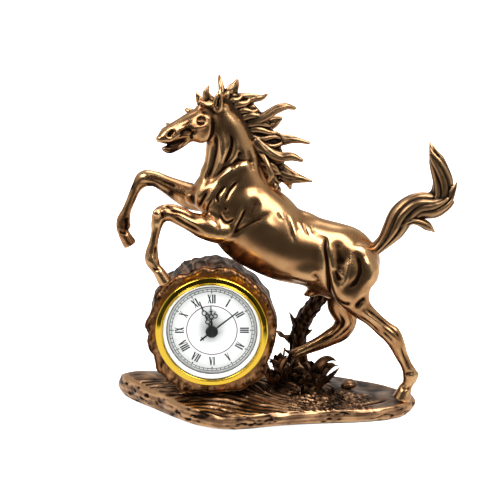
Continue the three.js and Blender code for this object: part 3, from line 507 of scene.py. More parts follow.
left_foreleg = [
    [-25, -11, 118.5, 8.5, 8], [-34.5, -13, 121, 8.5, 8], [-40.5, -14, 123, 8, 7], [-47, -15, 126, 6.5, 6],
    [-54.5, -16, 129.9, 6, 5], [-61, -17, 132.4, 5.5, 5], [-66, -17.5, 131.3, 5.3, 5], [-68.5, -18, 126, 4, 4],
    [-69.5, -18.5, 120.5, 3, 3], [-71, -19, 113.5, 3, 3], [-72, -19.5, 108, 4, 3.5], [-72, -20, 103, 4.5, 4.5],
    [-70, -20.5, 98.5, 3.5, 3.5], [-67.5, -21, 95.5, 3.2, 3.5],
]
right_foreleg = [
    [-32, 7.5, 133, 8, 7], [-39.5, 8.5, 135, 8.5, 7.5], [-49, 12, 136.5, 8.5, 8], [-57, 13, 140, 7, 7],
    [-65, 14, 144, 5.5, 6], [-71.5, 14.5, 147, 5, 5], [-78, 15, 147, 5.5, 5], [-83, 15, 141.5, 3.5, 3.5],
    [-86.5, 15, 134, 3, 3], [-89.5, 15, 127, 3, 3], [-92, 15, 119, 4.5, 4], [-92.5, 15, 113, 3.5, 3.5],
    [-91, 15, 110.5, 3.4, 3.6],
]
left_hind_leg = [
    [52, -8.5, 105, 13, 7], [52.5, -9.8, 94, 17.6, 8.5], [53, -10.5, 79.5, 12.5, 9], [58, -10.5, 70, 7.5, 7.5],
    [65.5, -11, 63, 5.5, 6],
    [72.5, -11.5, 56.5, 5.5, 5], [78.4, -12, 51.5, 5.9, 5], [81.7, -12, 45.5, 5.1, 4.2],
    [84.4, -12, 39, 4.2, 3.8],
    [87.8, -12, 32, 3.7, 3.8], [90.4, -12, 24.5, 4.8, 4.5], [88.5, -12, 19, 3.5, 4], [87.3, -12, 16, 3.8, 4.2],
]
right_hind_leg = [
    [52, 8.5, 103, 12, 7], [52.5, 9.8, 92, 16.5, 8.5], [51.5, 10, 79, 13, 8.5], [46.5, 10.5, 65.5, 8.5, 8],
    [50.3, 11, 55, 7.2, 6.8], [47, 11.5, 47.6, 6.6, 5.5],
    [40.5, 12, 43.2, 5.6, 4.6], [32.5, 12, 38.8, 4.5, 4], [24, 12, 35, 3.7, 3.7], [17.5, 12, 31.2, 3.4, 4],
    [17.5, 12, 27, 2.5, 3.5], [18.6, 12, 24.5, 2.8, 4],
]
# Hooves widen to a flat sole, and a thin coronet rolls over their upper edge.
hooves = [
    [[-67.9, -21, 96, 3.6, 4.1], [-63.6, -20.5, 88.6, 4.6, 5.2]],
    [[-91.6, 15, 111, 3.8, 4.1], [-87.6, 15, 103.8, 4.5, 4.8]],
    [[87, -12, 16, 4.4, 4.7], [85, -12, 9.4, 6.2, 6.2]],
    [[18.5, 12, 24.6, 3.2, 4.4], [20.9, 12, 19.3, 4.2, 5.1]],
]
print("forms:", len([torso, neck, head, jaw, near_ear, far_ear, sheath]), "and four legs")


# %% Fuse the horse
def head_mirror(path):
    """Mirrors points in the upright plane that holds the head's axis, which is turned to the near side."""
    start, axis = np.array([-28.5, -4.0, 0.0]), unit(np.array([-37.5, -19.0, 0.0]))
    across = np.array([-axis[1], axis[0], 0.0])
    return path - 2 * ((path - start) @ across)[:, None] * across


def pair(centre, radii, lean=0.0):
    """A muscle on the near side and its mirror image on the far side of the body."""
    x, y, z = centre
    return [blob(centre, radii, lean), blob((x, -y - 1, z), radii, lean)]


def head_pair(centre, radii, lean=0.0):
    far = head_mirror(np.array([centre], float))[0]
    return [blob(centre, radii, lean), blob(far, radii, lean)]


muscles = (
    pair((-17, -9.8, 132), (18, 8, 14.5), 58)  # shoulder blade
    + pair((-28.3, -8.4, 171), (4.2, 5, 18), 6) + pair((-17.6, -7, 168), (4, 4.8, 18), 14)  # bands of the neck
    + pair((-26, -12.5, 131.5), (5.5, 6.5, 5), 60)  # point of the shoulder
    + pair((-39, -7, 142), (11, 6, 7), 70)  # breast
    + pair((1, -13, 121), (15, 6.5, 8), -40)  # ribs behind the shoulder
    + pair((52, -8.5, 92), (14.5, 8.2, 17), 6)  # haunch
    + [blob((44.5, 0, 96.6), (25, 13, 24.8), -22), blob((20, 0, 111.3), (24, 12, 18.5), -27)]  # croup and loin
    + [blob((-36.5, -2, 150.5), (6, 8, 10), 14)]  # front of the neck's foot
    + pair((24, -12, 96), (18, 6, 10), -12)  # flank
    + head_pair((-41, -12.2, 180), (5.6, 4.6, 5.6))  # cheek
    + head_pair((-40.5, -14.2, 189.8), (1.9, 1.5, 1.4))  # eyeball
    + head_pair((-44.5, -14.6, 185.8), (4.8, 1.8, 1.1), 8)  # cheekbone
    + head_pair((-59.3, -22, 183), (2.7, 2, 2.7))  # nostril wing
    + [blob((-60, -15.5, 186.2), (3.5, 2.6, 1.4), -30), blob((-48.5, -8, 194.4), (3.2, 2.4, 1.8), -10)]
    + [blob((-35.5, -17.5, 126.5), (2.4, 2.6, 2.4)), blob((-68.3, -21.8, 133.2), (3.2, 2.4, 2.6))]
    + [blob((79.5, -12, 54.5), (3.4, 3.6, 4.2), 45), blob((92.6, -12, 25.5), (3, 3.2, 3.4), -70)]
    + [blob((-69.2, -19.8, 101.5), (2.2, 2.6, 2.6)), blob((-89.3, 15, 117), (2.4, 2.8, 3))]
)
forms = [
    torso, neck, head, jaw, near_ear, far_ear, sheath, left_foreleg, right_foreleg, left_hind_leg,
    right_hind_leg,
]
shells = [tube(form) for form in forms]
shells += [tube(hoof, steps=12, flat_end=True) for hoof in hooves] + list(muscles)
horse_grid = 0.63  # mm
horse_mesh = fused("horse", shells, horse_grid, 3)

# %% Soften the joins
points, pairs = vertices_of(horse_mesh), edges_of(horse_mesh)
x, y, z = points.T
# The trunk and the tops of the legs are softened fully; the head, ears and lower legs hardly at all.
trunk = np.clip((138 + 0.25 * x - np.abs(z - 122)) / 60, 0, 1)
trunk = trunk * np.clip((x + 52) / 12, 0, 1) * np.clip((78 - x) / 10, 0, 1)
trunk = np.maximum(trunk * np.clip((z - 62) / 12, 0, 1), 0.06) * np.clip((196 - z) / 20, 0.08, 1)
soft_rounds = 22
for _ in range(soft_rounds):
    points = points + trunk[:, None] * (neighbour_mean(points, pairs) - points)
set_vertices(horse_mesh, points)
print("softened:", round(float(trunk.mean()), 2), "on average")

# %% Carve the trunk, the same on both sides
trunk_strokes = [
    # Shoulder blade: its lower edge, front edge, and the two crescents behind the point.
    (1.9, -1.0, 0.55, [(-25, 116), (-18, 121.5), (-9.5, 126.5), (1, 131.5)]),
    (2.6, 0.9, -0.1, [(-12, 162), (-20.5, 159.5), (-29, 153.5), (-34.5, 146)]),
    (1.8, -1.5, 0.55, [(-8, 163), (-18, 163.5), (-28, 158), (-35.5, 151)]),
    (1.5, -1.8, 0.9, [(-26, 149), (-31.5, 142), (-30.5, 137)]),
    (1.5, -1.5, 0.7, [(-18, 152.5), (-24.5, 145), (-27.5, 138)]),
    (1.1, -1.0, 0.5, [(-29.5, 135), (-29.5, 129.5), (-25.5, 126), (-20.5, 129)]),
    (2.4, -1.2, 0.8, [(-26.5, 134.5), (-26, 130.5)]),
    (3.0, -1.3, 0.45, [(-8, 137), (-11, 130)]),
    (1.2, -1.1, 0.6, [(-13.5, 136), (-16.5, 129), (-21, 121)]),
    (1.0, 0.5, 0.0, [(-16, 137), (-19, 130), (-22, 123)]),
    # Breast.
    (1.6, -1.4, 0.7, [(-44, 133), (-41, 139.5), (-37, 146)]),
    (3.2, -0.8, 0.8, [(-47.5, 139), (-46, 131)]),
    (1.4, -1.1, 0.6, [(-39.5, 128), (-37.5, 136), (-33, 143)]),
    # Ribs.
    (0.9, -0.75, 0.3, [(6, 132), (8, 127.5)]),
    (0.95, -0.95, 0.38, [(12, 129.5), (14, 122.5), (15.5, 114.5)]),
    (0.9, -0.75, 0.3, [(17.5, 126.5), (19.5, 120.5)]),
    (0.9, -0.75, 0.3, [(21.5, 125), (24.5, 117)]),
    (0.9, -0.6, 0.25, [(26.5, 124), (29, 118)]),
    (1.1, 0.6, 0.0, [(14, 130), (16, 122.5), (17.5, 115)]),
    (0.9, 0.4, 0.0, [(8, 132), (10, 127.5)]), (0.9, 0.4, 0.0, [(19.3, 126.5), (21.3, 120)]),
    (0.9, 0.4, 0.0, [(23.4, 125), (26.4, 117)]),
    # The crease in front of the haunch, and the fold of the flank.
    (
        1.5, -1.9, 1.0,
        [
            (28.5, 119.5), (31.5, 117), (35, 115.5), (35.5, 108.5), (36.7, 100.5), (37.5, 90.5), (37.8, 81),
            (40, 75), (44.5, 70), (52.5, 66.5),
        ],
    ),
    (2.4, 0.7, 0.0, [(32, 111), (33, 101), (34, 91)]),
    (2.2, 0.8, -0.1, [(39.8, 112), (40.3, 100), (41, 88), (42, 79)]),
    # Hollows of the haunch.
    (4.3, -1.7, 0.85, [(43.8, 110), (44.8, 102)]),
    (2.9, -1.7, 0.95, [(53.5, 107.5), (56.5, 101), (57, 94.5), (53.5, 87.5), (47.5, 83.5)]),
    (2.7, -1.3, 0.8, [(42.5, 95), (43.5, 90.5)]),
    (1.3, 0.8, -0.2, [(40, 98.5), (44, 94.5), (48, 91.5)]),
    (1.5, 0.9, -0.2, [(50.5, 105), (49.8, 98), (48.5, 91), (45, 84)]),
    (1.5, -1.1, 0.7, [(43.5, 75), (47.5, 73.3), (52, 74.5)]),
    (1.7, -1.4, 0.85, [(62, 78), (57.5, 75.5), (54, 71.5)]),
    (3.0, 0.9, -0.1, [(60, 104), (64, 95), (63, 84)]),
    # Belly.
    (0.8, 0.5, 0.0, [(-4, 95.5), (6, 92), (18, 90.5)]), (0.9, -0.5, 0.4, [(-2, 93.5), (7, 90.3), (19, 89)]),
    (2.0, -0.9, 0.5, [(27, 94), (31, 90), (31, 85)]),
    # Neck: the jugular groove, the bands over it, and the root of the mane.
    (2.0, -1.7, 0.95, [(-32, 186), (-32.5, 172.5), (-35.5, 158.5), (-41, 146.5)]),
    (1.8, -1.5, 0.9, [(-24.5, 183.5), (-22.3, 176), (-24, 168), (-30, 158.5)]),
    (1.6, 0.9, -0.1, [(-28.6, 183), (-27.4, 174), (-29, 164), (-34, 154)]),
    (2.0, -1.3, 0.7, [(-17.5, 168), (-20.5, 161)]),
    (1.4, 0.6, 0.0, [(-20.3, 178), (-20, 170), (-23.5, 162.5)]),
    (1.2, -0.9, 0.6, [(-37.6, 175), (-38.6, 164), (-42.5, 152)]),
    (1.8, -1.0, 0.6, [(-12, 170), (-10.5, 163), (-9, 157)]),
]
# The neck's grooves get a thinner patina wash than the rest, which lightens the neck: a painted highlight.
TRUNK_DEPTH, TRUNK_DARK = 0.7, 0.62
HIGH_UP, HIGH_DARK = 166, 0.4  # strokes that start above HIGH_UP mm are darkened by HIGH_DARK instead
eased = []
for width, depth, dark, line in trunk_strokes:
    eased.append((width, TRUNK_DEPTH * depth, (HIGH_DARK if line[0][1] > HIGH_UP else TRUNK_DARK) * dark, line))
stain = carve(horse_mesh, eased, sides=(-1, 1))
print("strokes on the trunk:", len(trunk_strokes))

# %% Carve the legs
leg_strokes = [
    # Near foreleg: the long muscles, the folded knee and the tendons.
    (1.3, -1.1, 0.6, [(-59.5, 132.2), (-55, 129), (-49, 125), (-41, 120.5)]),
    (1.2, -0.9, 0.5, [(-62.5, 134.8), (-53.5, 132.6), (-45, 129.8)]),
    (1.2, 0.6, -0.1, [(-58, 134.2), (-50, 129.2), (-41.5, 124.5)]),
    (1.3, -0.9, 0.7, [(-70, 133.5), (-66.5, 134.5), (-64.3, 129)]),
    (1.8, 0.8, 0.0, [(-66.3, 129.5), (-67.5, 126.5)]),
    (0.8, -0.6, 0.6, [(-66.8, 122), (-68.6, 115), (-69.7, 108.5)]),
    (0.7, -0.4, 0.3, [(-70, 122), (-71.5, 114)]),
    (1.3, -0.9, 1.0, [(-69.3, 110.5), (-69.4, 104.5)]),
    (1.0, -0.8, 0.8, [(-72.5, 99.5), (-69.5, 97.6), (-66.3, 98.6)]),
    (1.2, -0.9, 0.6, [(-34, 130.5), (-30.7, 126.3), (-31, 121)]),
    (1.4, -0.8, 0.5, [(-41, 116), (-33.5, 113.5), (-27, 114.5)]),
    # Far foreleg.
    (1.5, -1.1, 0.8, [(-80.5, 145.5), (-73, 143.5), (-64, 138.5), (-55, 133)]),
    (1.3, -0.8, 0.5, [(-75, 149.5), (-66, 147), (-57, 143.5)]),
    (0.8, -0.6, 0.6, [(-82.6, 138), (-85.6, 129.5), (-88, 122)]),
    (1.3, -0.9, 0.9, [(-89.5, 121), (-89.5, 115.5)]),
    (1.0, -0.8, 0.8, [(-95.5, 114), (-92, 112.3), (-88.6, 112.6)]),
    # Near hind leg: gaskin, hock and cannon.
    (1.5, -1.3, 0.9, [(60.5, 71), (67, 67), (73, 62), (79, 57.5)]),
    (1.2, -0.9, 0.6, [(56, 66.5), (63.5, 60.5), (71, 54)]),
    (1.0, 0.6, -0.1, [(60, 68.5), (67, 63.3), (74, 57.4)]),
    (1.2, -0.9, 0.9, [(76.8, 59.5), (80.3, 55.6), (83, 51)]),
    (1.0, -0.8, 0.6, [(71.5, 56), (76, 52), (79, 48)]),
    (0.9, -0.8, 0.9, [(83.4, 46), (86, 39), (89, 32)]),
    (0.7, -0.45, 0.35, [(80.3, 43), (82.5, 36), (85.3, 30)]),
    (1.0, -0.7, 0.6, [(86, 26), (89.5, 28.5), (93, 28)]),
    (1.0, -0.7, 0.8, [(83, 18.5), (87, 17.5), (91.5, 18.7)]),
    # Far hind leg.
    (1.3, -1.0, 0.9, [(45, 63), (48.3, 55), (42.5, 47), (33, 41.5)]),
    (1.1, -0.8, 0.7, [(52, 61), (53.5, 54.5), (47, 47), (38, 41)]),
    (0.9, 0.5, -0.2, [(43.5, 49.7), (34, 43.5), (24, 38.3)]),
]
LEG_DEPTH, LEG_DARK = 0.65, 0.6
stain = stain + carve(horse_mesh, [(w, LEG_DEPTH * d, LEG_DARK * k, line) for w, d, k, line in leg_strokes])
print("strokes on the legs:", len(leg_strokes))

# %% Carve the head, mirrored in its own plane
head_strokes = [
    (1.7, -3.8, 2.8, [(-58.6, 184.2), (-59.8, 182.7)]),  # nostril
    (0.8, 0.8, -0.3, [(-61.6, 181.6), (-61.9, 184.2), (-59.8, 186), (-57.3, 185)]),
    (0.9, -1.6, 1.6, [(-64.5, 177), (-60.5, 176.3), (-55.5, 177.2), (-50, 178.6)]),  # mouth
    (1.3, -1.0, 1.1, [(-60, 174.5), (-56, 175.2), (-51, 178)]),
    (0.8, -1.1, 2.0, [(-43.3, 189.6), (-42, 191.2), (-39.3, 191.1), (-37.6, 189)]),  # eyelids
    (0.7, -1.0, 1.8, [(-43.6, 189), (-41, 187.6), (-38, 188.3)]),
    (0.9, 0.9, -0.9, [(-45.3, 192.3), (-41.6, 193.6), (-37.6, 192.6), (-35.3, 189.5)]),  # brow
    (1.2, 0.8, -0.5, [(-62, 185.6), (-54.5, 190.3), (-46, 194.6)]),  # nose ridge
    (1.7, -1.4, 1.1, [(-54.5, 182), (-50, 184.4), (-46.3, 184)]),  # hollow of the face
    (1.0, -0.8, 0.8, [(-55.3, 179.3), (-51.3, 181), (-47.5, 180)]),
    (1.0, -0.7, 0.7, [(-47, 190.5), (-50, 188.3), (-54, 186.5)]),
    (1.2, -1.2, 0.9, [(-46.4, 177), (-46.8, 181), (-44.8, 184)]),  # edge of the cheek
    (0.8, 0.6, -0.2, [(-45.2, 176.6), (-41.5, 174.2), (-37.3, 176.6), (-35.2, 181.5)]),
    (1.6, -1.8, 1.4, [(-34, 189), (-33.6, 183), (-35.5, 176.5), (-39, 173)]),  # behind the jaw
    (1.2, 0.5, -0.2, [(-47, 185.6), (-42, 185.6), (-36.3, 187.3)]),
    (2.0, 0.0, 0.75, [(-46, 190.5), (-41, 193.2), (-36, 191)]),  # and round the eye
    (1.5, 0.0, 0.6, [(-45.6, 186.8), (-41, 186.2), (-37, 186.8)]),
    (1.0, 0.0, 1.0, [(-41.2, 189.8), (-40.2, 189.8)]),
    (3.0, -0.4, 0.9, [(-37, 195.5), (-34.5, 193), (-33, 189)]),
]
HEAD_DEPTH, HEAD_DARK = 0.75, 0.75
eased = [(w, HEAD_DEPTH * d, HEAD_DARK * k, line) for w, d, k, line in head_strokes]
stain = stain + carve(horse_mesh, eased, mirror=head_mirror)
ear_strokes = [
    (1.0, -1.7, 1.8, [(-31, 196.5), (-30.7, 200), (-30, 204)]),
    (0.7, 0.5, -0.3, [(-33.3, 196), (-33.2, 201), (-30.3, 207)]),
    (0.8, -0.9, 1.0, [(-40.5, 197), (-42.3, 200.5), (-43.6, 203.5)]),
]
stain = stain + carve(horse_mesh, ear_strokes, fade=0.1)
print("strokes on the head:", len(head_strokes) + len(ear_strokes))

# %% Where the patina stays, and where shade is painted
# The finisher brushes a dark wash over everything and rubs it off again. It stays in the hollows.
depths = hollows(horse_mesh, 5)
fine = hollows(horse_mesh, 2)
# The legs and the face are made darker by a set amount with a little noise. The far legs are darker
# again, with patina and painted shade where they lie on the far side of the body, and the gap of the
# mouth is filled with painted shade.
x, y, z = vertices_of(horse_mesh).T
hind_legs = np.clip((98 - z) / 30, 0, 1) * np.clip((x - 20) / 20, 0, 1)
forelegs = np.clip((-34 - x) / 10, 0, 1) * np.clip((152 - z) / 8, 0, 1)
legs = hind_legs + forelegs
face = np.clip((z - 166) / 10, 0, 1) * np.clip((-32 - x) / 8, 0, 1)
# The mouth mask marks the gap between the lips, which gets painted shade.
mouth = np.clip((177.2 - z) / 0.8, 0, 1) * np.clip((-50.5 - x) / 2, 0, 1) * np.clip((z - 168) / 2, 0, 1)
# Painted shade: the far-side leg term (patina and painted shade) and the mouth term (painted shade only).
film_and_shade = 0.22 * legs + 0.34 * legs * np.clip((y - 2) / 6, 0, 1) + 0.24 * face + 0.95 * mouth
film_and_shade = film_and_shade * (1 + 0.5 * noise_of(vertices_of(horse_mesh), 11, 35, 3))
age = np.clip(stain + film_and_shade + np.clip(depths * 1.9, -0.4, 0.5) + np.clip(fine * 6, -0.18, 0.4), -0.4, 1.1)
store(horse_mesh, "age", age)
print("age from", round(float(age.min()), 2), "to", round(float(age.max()), 2))

# %% [markdown]
# ## Mane and tail
# Each lock is a bundle of strands that start together, wind a little around each other and run out in
# a point. Hair made of thousands of fibres would look soft; here it is metal, cut with a gouge, so the
# strands are few, thick and sharp-edged, and the whole mane is one skin.


# %% Locks of hair
def lock(stations, strands, seed, wind=0.35, wave=0.5, core=0.72):
    """A bundle: strand i runs at the angle 2 pi i / strands + wind in the section, at 0.5 of its half
    sizes, and swings by `wave` mm in a sine. The strands lie on a grooved core that fills `core` of it."""
    rng = np.random.default_rng(seed)
    rows = through(stations, max(10, int(len(stations) * 5)))
    share = np.linspace(0, 1, len(rows))
    along = unit(np.gradient(rows[:, :3], axis=0))
    across = unit(np.array([0.0, 1.0, 0.0]) - along * along[:, 1:2])
    up = np.cross(across, along)
    shells = [
        tube(np.column_stack([rows[:, :3], rows[:, 3:] * core]), around=36, lobes=6, groove=0.12, twist=wind)
    ]
    for i in range(strands):
        turn = 2 * math.pi * (i + rng.uniform(-0.2, 0.2)) / strands + wind * math.pi * share
        swing = wave * np.sin(2 * math.pi * (share * rng.uniform(0.8, 1.5) + rng.uniform())) * share
        high = (rows[:, 3] * 0.62 * np.sin(turn) + swing)[:, None] * up
        wide = (rows[:, 4] * 0.62 * np.cos(turn))[:, None] * across
        taper = np.clip((1.04 - share) * 3.2, 0.12, 1) * rng.uniform(0.85, 1.15)
        part = np.column_stack(
            [rows[:, :3] + high + wide, rows[:, 3] * 0.36 * taper, rows[:, 4] * 0.42 * taper]
        )
        stop = max(6, int(len(rows) * rng.uniform(0.84, 1.0)))
        shells.append(tube(part[:stop], around=12))
    return shells


mane_crest = [
    [-27.5, -4, 202, 4, 4], [-21, -3, 195, 4.5, 4], [-15.5, -2, 186.5, 4.5, 4], [-10.5, -1, 176, 4, 4],
    [-5.5, -1, 165.5, 4, 4], [-1.5, 0, 154.5, 3, 3.5], [3, 0, 147, 2, 3],
]
mane_locks = [
    [
        [-28.5, -4, 200, 3, 3], [-28.8, -3, 207.5, 2.1, 2.5], [-29.8, -2, 212, 1.5, 1.5],
        [-30.2, -2, 215.2, 0.8, 0.8],
    ],
    [
        [-25, -3, 200, 4.4, 3], [-22, -2, 206.5, 3.6, 2.5], [-20, -2, 210, 2.4, 1.8],
        [-19.2, -2, 212.4, 1.2, 1.1],
    ],
    [
        [-23.5, -3, 196.5, 6.5, 3], [-15.5, -2, 199.5, 5.6, 3], [-9, -1, 200.8, 3, 2.2],
        [-4, -1, 201.3, 1.9, 1.6], [-0.6, -1, 203.4, 0.8, 0.8],
    ],
    [
        [-17.5, -2, 186, 5, 3], [-9.5, -3, 186.5, 4, 3], [-2.5, -3, 189.6, 3.4, 3], [4, -2, 193.8, 2.8, 2.5],
        [11.5, -1, 195.8, 2.2, 2.2], [16, 0, 194.6, 1.4, 1.4],
    ],
    [[-12.5, 0, 181, 6, 3], [-4, 2, 183.5, 6, 2.6], [4, 3, 186, 4.2, 2.2], [7.6, 3, 187.6, 1.8, 1.4]],
    [
        [-10, 0, 176, 7, 3], [0, 1, 175, 6, 2.6], [9, 1, 174.6, 3.8, 2.2], [18.5, 1, 174.2, 2, 1.8],
        [25, 1, 172.6, 1.2, 1.2],
    ],
    [
        [-8, -3, 174, 4.4, 3], [-1.5, -4, 168.5, 4.2, 3], [7.5, -4, 164.6, 3.3, 2.6],
        [15.5, -4, 164.6, 2.6, 2.2], [20.6, -4, 162.6, 1.5, 1.4],
    ],
    [
        [-4, 0, 164, 6, 3], [4.5, 1, 156.5, 6.3, 3], [13.5, 1, 151.5, 5, 2.6], [21, 0, 149.8, 2.6, 2.2],
        [27, 0, 148.6, 0.9, 1],
    ],
    [[-5, -4, 168, 2, 2], [0.5, -8, 159, 1.6, 2], [1.5, -8.5, 153, 1.6, 1.6], [0, -8, 149.5, 0.8, 0.8]],
    [[9, 2, 151, 3, 2], [13, 4, 146, 2.2, 2], [14, 4, 143.4, 1.2, 1.2]],
    [
        [-28, -5, 200, 3, 3], [-33, -7, 200, 3, 3], [-37, -8, 202, 3, 2.5], [-38, -9, 206, 2, 2],
        [-36.4, -9, 209.8, 0.7, 0.7],
    ],
    [[-32, -7, 199.5, 2.5, 3], [-38, -11, 199, 2, 2.5], [-42, -12, 200.5, 1, 1.5]],
]
tail_main = [
    [65, 0, 102.5, 4, 5], [72.4, 0, 109.3, 4.8, 5.2], [79, 0, 117.6, 7.4, 6.5], [85, 0, 127, 9, 7],
    [94, 0, 132.8, 9.4, 7],
    [104, 0, 133, 8, 6.5], [112, -1, 137, 5, 5], [115.5, -2, 143.5, 2.5, 3], [117.5, -3, 148.5, 0.5, 1],
]
tail_plume = [
    [100.5, 2, 133, 6.5, 6], [108, 2, 138.5, 7, 6], [109.5, 2, 146.5, 7, 5.5], [108, 2, 154, 6.5, 5],
    [105.5, 2, 161.5, 5.5, 4], [102, 2, 168.5, 3, 3], [100.5, 2, 173, 0.5, 1],
]
tail_lock = [
    [82.5, -2, 121.5, 4.5, 4], [90, -3, 124, 3, 3.5], [97, -4, 122.5, 3, 3], [101.5, -4, 119.5, 2.5, 2.5],
    [104, -4, 117, 1, 1],
]

hair_grid = 0.42
# Behind the locks lies the mass of the mane: a thick sheet that leans away from the neck, with
# combed strands on both its faces. They leave the crest upwards at the top and downwards at the foot.
mane_mass = [
    [-23, -3, 202, 4, 2.4], [-17, -1.5, 196, 6.5, 2.4], [-9.5, -1, 187, 7.5, 2.6], [-5, -0.5, 177.5, 9, 2.6],
    [0, 0, 168, 8.5, 2.6], [4, 0, 157, 6.5, 2.2], [5.5, 0, 151, 3.5, 1.8],
]


def combed(count, face, seed):
    """Strands from even places on the crest. The heading falls from +32 to -48 degrees down the neck,
    and each strand swings in a sine of about 1.6 mm, so that neighbours part and meet."""
    rng = np.random.default_rng(seed)
    roots = through(mane_crest, count)[:, :3]
    shells = []
    for i, root in enumerate(roots):
        share = i / (count - 1)
        heading = math.radians(32 - 80 * share + rng.uniform(-7, 7))
        reach = (6 + 13 * math.sin(math.pi * share)) * rng.uniform(0.85, 1.05)
        t = np.linspace(0, 1, 12)
        swing = rng.uniform(1.1, 1.9) * np.sin(2 * math.pi * (t * 0.85 + rng.uniform())) * t**0.5
        along = np.array([math.cos(heading), 0, math.sin(heading)])
        side = np.array([-math.sin(heading), 0, math.cos(heading)])
        path = root + t[:, None] * reach * along + swing[:, None] * side
        path[:, 1] += face * (2.0 + 1.2 * np.sin(math.pi * t) - 1.4 * t)
        size = rng.uniform(1.5, 2.2) * (1.0 - 0.6 * t**2)
        shells.append(tube(np.column_stack([path, size * 1.25, size]), around=12))
    return shells


mane_shells = [tube(mane_crest), tube(mane_mass, around=32)] + combed(16, -1, 37) + combed(12, 1, 38)
mane_shells += [s for i, l in enumerate(mane_locks) for s in lock(l, 5, 40 + i, wave=0.6, core=0.95)]
mane_mesh = fused("mane", mane_shells, hair_grid, 1)
tail_shells = lock(tail_main, 9, 71, wind=0.5, wave=1.2)
tail_shells += lock(tail_plume, 8, 72, wind=0.6, wave=1.0) + lock(tail_lock, 6, 73)
tail_mesh = fused("tail", tail_shells, hair_grid, 1)
for mesh in (mane_mesh, tail_mesh):
    depths, fine = hollows(mesh, 6), hollows(mesh, 2)
    store(mesh, "age", np.clip(0.2 + depths * 4.2 + fine * 5, -0.4, 1.1))

# %% [markdown]
# ## The stump
# The log lies with its axis towards the viewer and the clock in its bore. One grid covers it all: round
# the axis in angle, and in rows along a profile that runs over the cut face, along the bark, over the
# back and home through the bore. The bark is the same grid pushed out by ridges, which start at the cut
# face as chips. Towards the floor the circle widens into the roots.

# %% The log
LOG = np.array([-35.0, -26.0, 59.5])  # middle of the cut face; the axis runs to +Y
LOG_RADIUS, LOG_DEPTH, BORE = 41.0, 40.0, 31.0


def ridges(turn, y, seed, counts, swing):
    """Sum of cosines of whole numbers of ridges round the log, whose phase drifts with depth y."""
    rng = np.random.default_rng(seed)
    total = np.zeros_like(turn * y)
    for n in counts:
        start = rng.uniform(0, 6.28)
        drift = swing * np.sin(y / rng.uniform(6, 14) + rng.uniform(0, 6.28))
        total += np.cos(n * turn + start + drift) * rng.uniform(0.7, 1.2)
    return total / len(counts)


def grid_mesh(name, grid, loop_rows=False):
    """A grid (rows, around, 3) closed around, and closed over its rows if loop_rows is set."""
    rows, around = grid.shape[:2]
    i, k = np.meshgrid(np.arange(rows if loop_rows else rows - 1), np.arange(around), indexing="ij")
    j, l = (i + 1) % rows, (k + 1) % around
    quads = np.stack([i * around + k, i * around + l, j * around + l, j * around + k], -1).reshape(-1, 4)
    return mesh_from(name, grid.reshape(-1, 3), [quads])


around = 560
turn = np.linspace(0, 2 * math.pi, around, endpoint=False)[None, :]
# Profile: share of the way from the bore to the bark, and depth, for the four runs of rows.
face_rows, bark_rows = 26, 64
ease = np.linspace(0, 1, face_rows)
depth_of_bark = np.linspace(0, 1, bark_rows + 2)[1:-1]
share = np.concatenate([ease, np.ones(bark_rows), np.linspace(1, 0, 12), np.zeros(6)])[:, None]
depth = np.concatenate([np.zeros(face_rows), depth_of_bark, np.ones(12), np.linspace(1, 0, 8)[1:-1]])
depth = depth[:, None] * LOG_DEPTH

lean = np.sin(turn)
circle = LOG_RADIUS - 0.5 - 3.6 * (depth / LOG_DEPTH) * np.clip(lean + 0.2, 0, 1)
down = np.minimum(34.5 / np.maximum(np.abs(np.cos(turn)), 0.05), 42.0 / np.maximum(-lean, 0.05))
middle = np.exp(-(((depth - 20) / 16) ** 4))
flare = np.clip(down - circle, 0, 5.5) * (0.55 + 0.45 * middle)
reach = np.where(lean < -0.2, circle + flare, circle)
bark = 1.9 * ridges(turn, depth, 5, (6, 10, 15), 1.1) + 0.35 * ridges(turn, depth, 6, (19, 27), 1.8)
on_log = np.stack(
    [LOG_RADIUS * np.cos(turn) + 0 * depth, depth + 0 * turn, LOG_RADIUS * np.sin(turn) + 0 * depth], -1,
)
split_line = np.abs(noise_of(on_log * [1, 0.25, 1], 12, 52, 1))
bark = bark + 0.9 * noise_of(on_log * [1, 0.4, 1], 13, 51, 2) - 0.8 * np.clip(1 - split_line / 0.16, 0, 1)
# Chips break the edge of the cut face; the right side of the log was left smoother.
left_side = 0.6 + 0.4 * np.clip(-np.cos(turn) * 1.5, -0.6, 1)
outer = reach + bark * left_side * np.clip(share * 1.8 - 0.8, 0, 1)
shelf = np.exp(-(((turn - 1.75) * 41 / 17) ** 6)) * np.exp(-(((depth - 26) / 15) ** 6))
knob = np.exp(-(((turn - 2.36) * 41 / 5.5) ** 2) - ((depth - 5.5) / 5.0) ** 2)
outer = outer + (1.6 * shelf + 2.6 * knob) * np.clip(share * 2 - 1, 0, 1)
# The face is a shallow dish round the bezel and rolls over at the bark.
radius = BORE + (outer - BORE) * share
roll = np.clip((share - 0.72) / 0.28, 0, 1) ** 2.2
front = np.where(np.arange(len(share))[:, None] < face_rows, 1.0, 0.0)
on_face = np.stack([radius * np.cos(turn), 0 * turn + 0 * radius, radius * np.sin(turn)], -1)
wave = 0.55 * ridges(turn, radius, 9, (5, 9, 14), 0.8) + 0.5 * noise_of(on_face * [1, 1, 0.6], 8, 53, 3)
wave = wave * np.clip(share * 3 - 1.2, 0, 1)
y = LOG[1] + depth + front * (2.2 * roll + 0.4 - 0.4 * share + wave * (1 - roll))
log_grid = np.stack([LOG[0] + radius * np.cos(turn), y + 0 * turn, LOG[2] + radius * np.sin(turn)], -1)
log_mesh = grid_mesh("log", log_grid, loop_rows=True)
depths, fine = hollows(log_mesh, 6), hollows(log_mesh, 2)
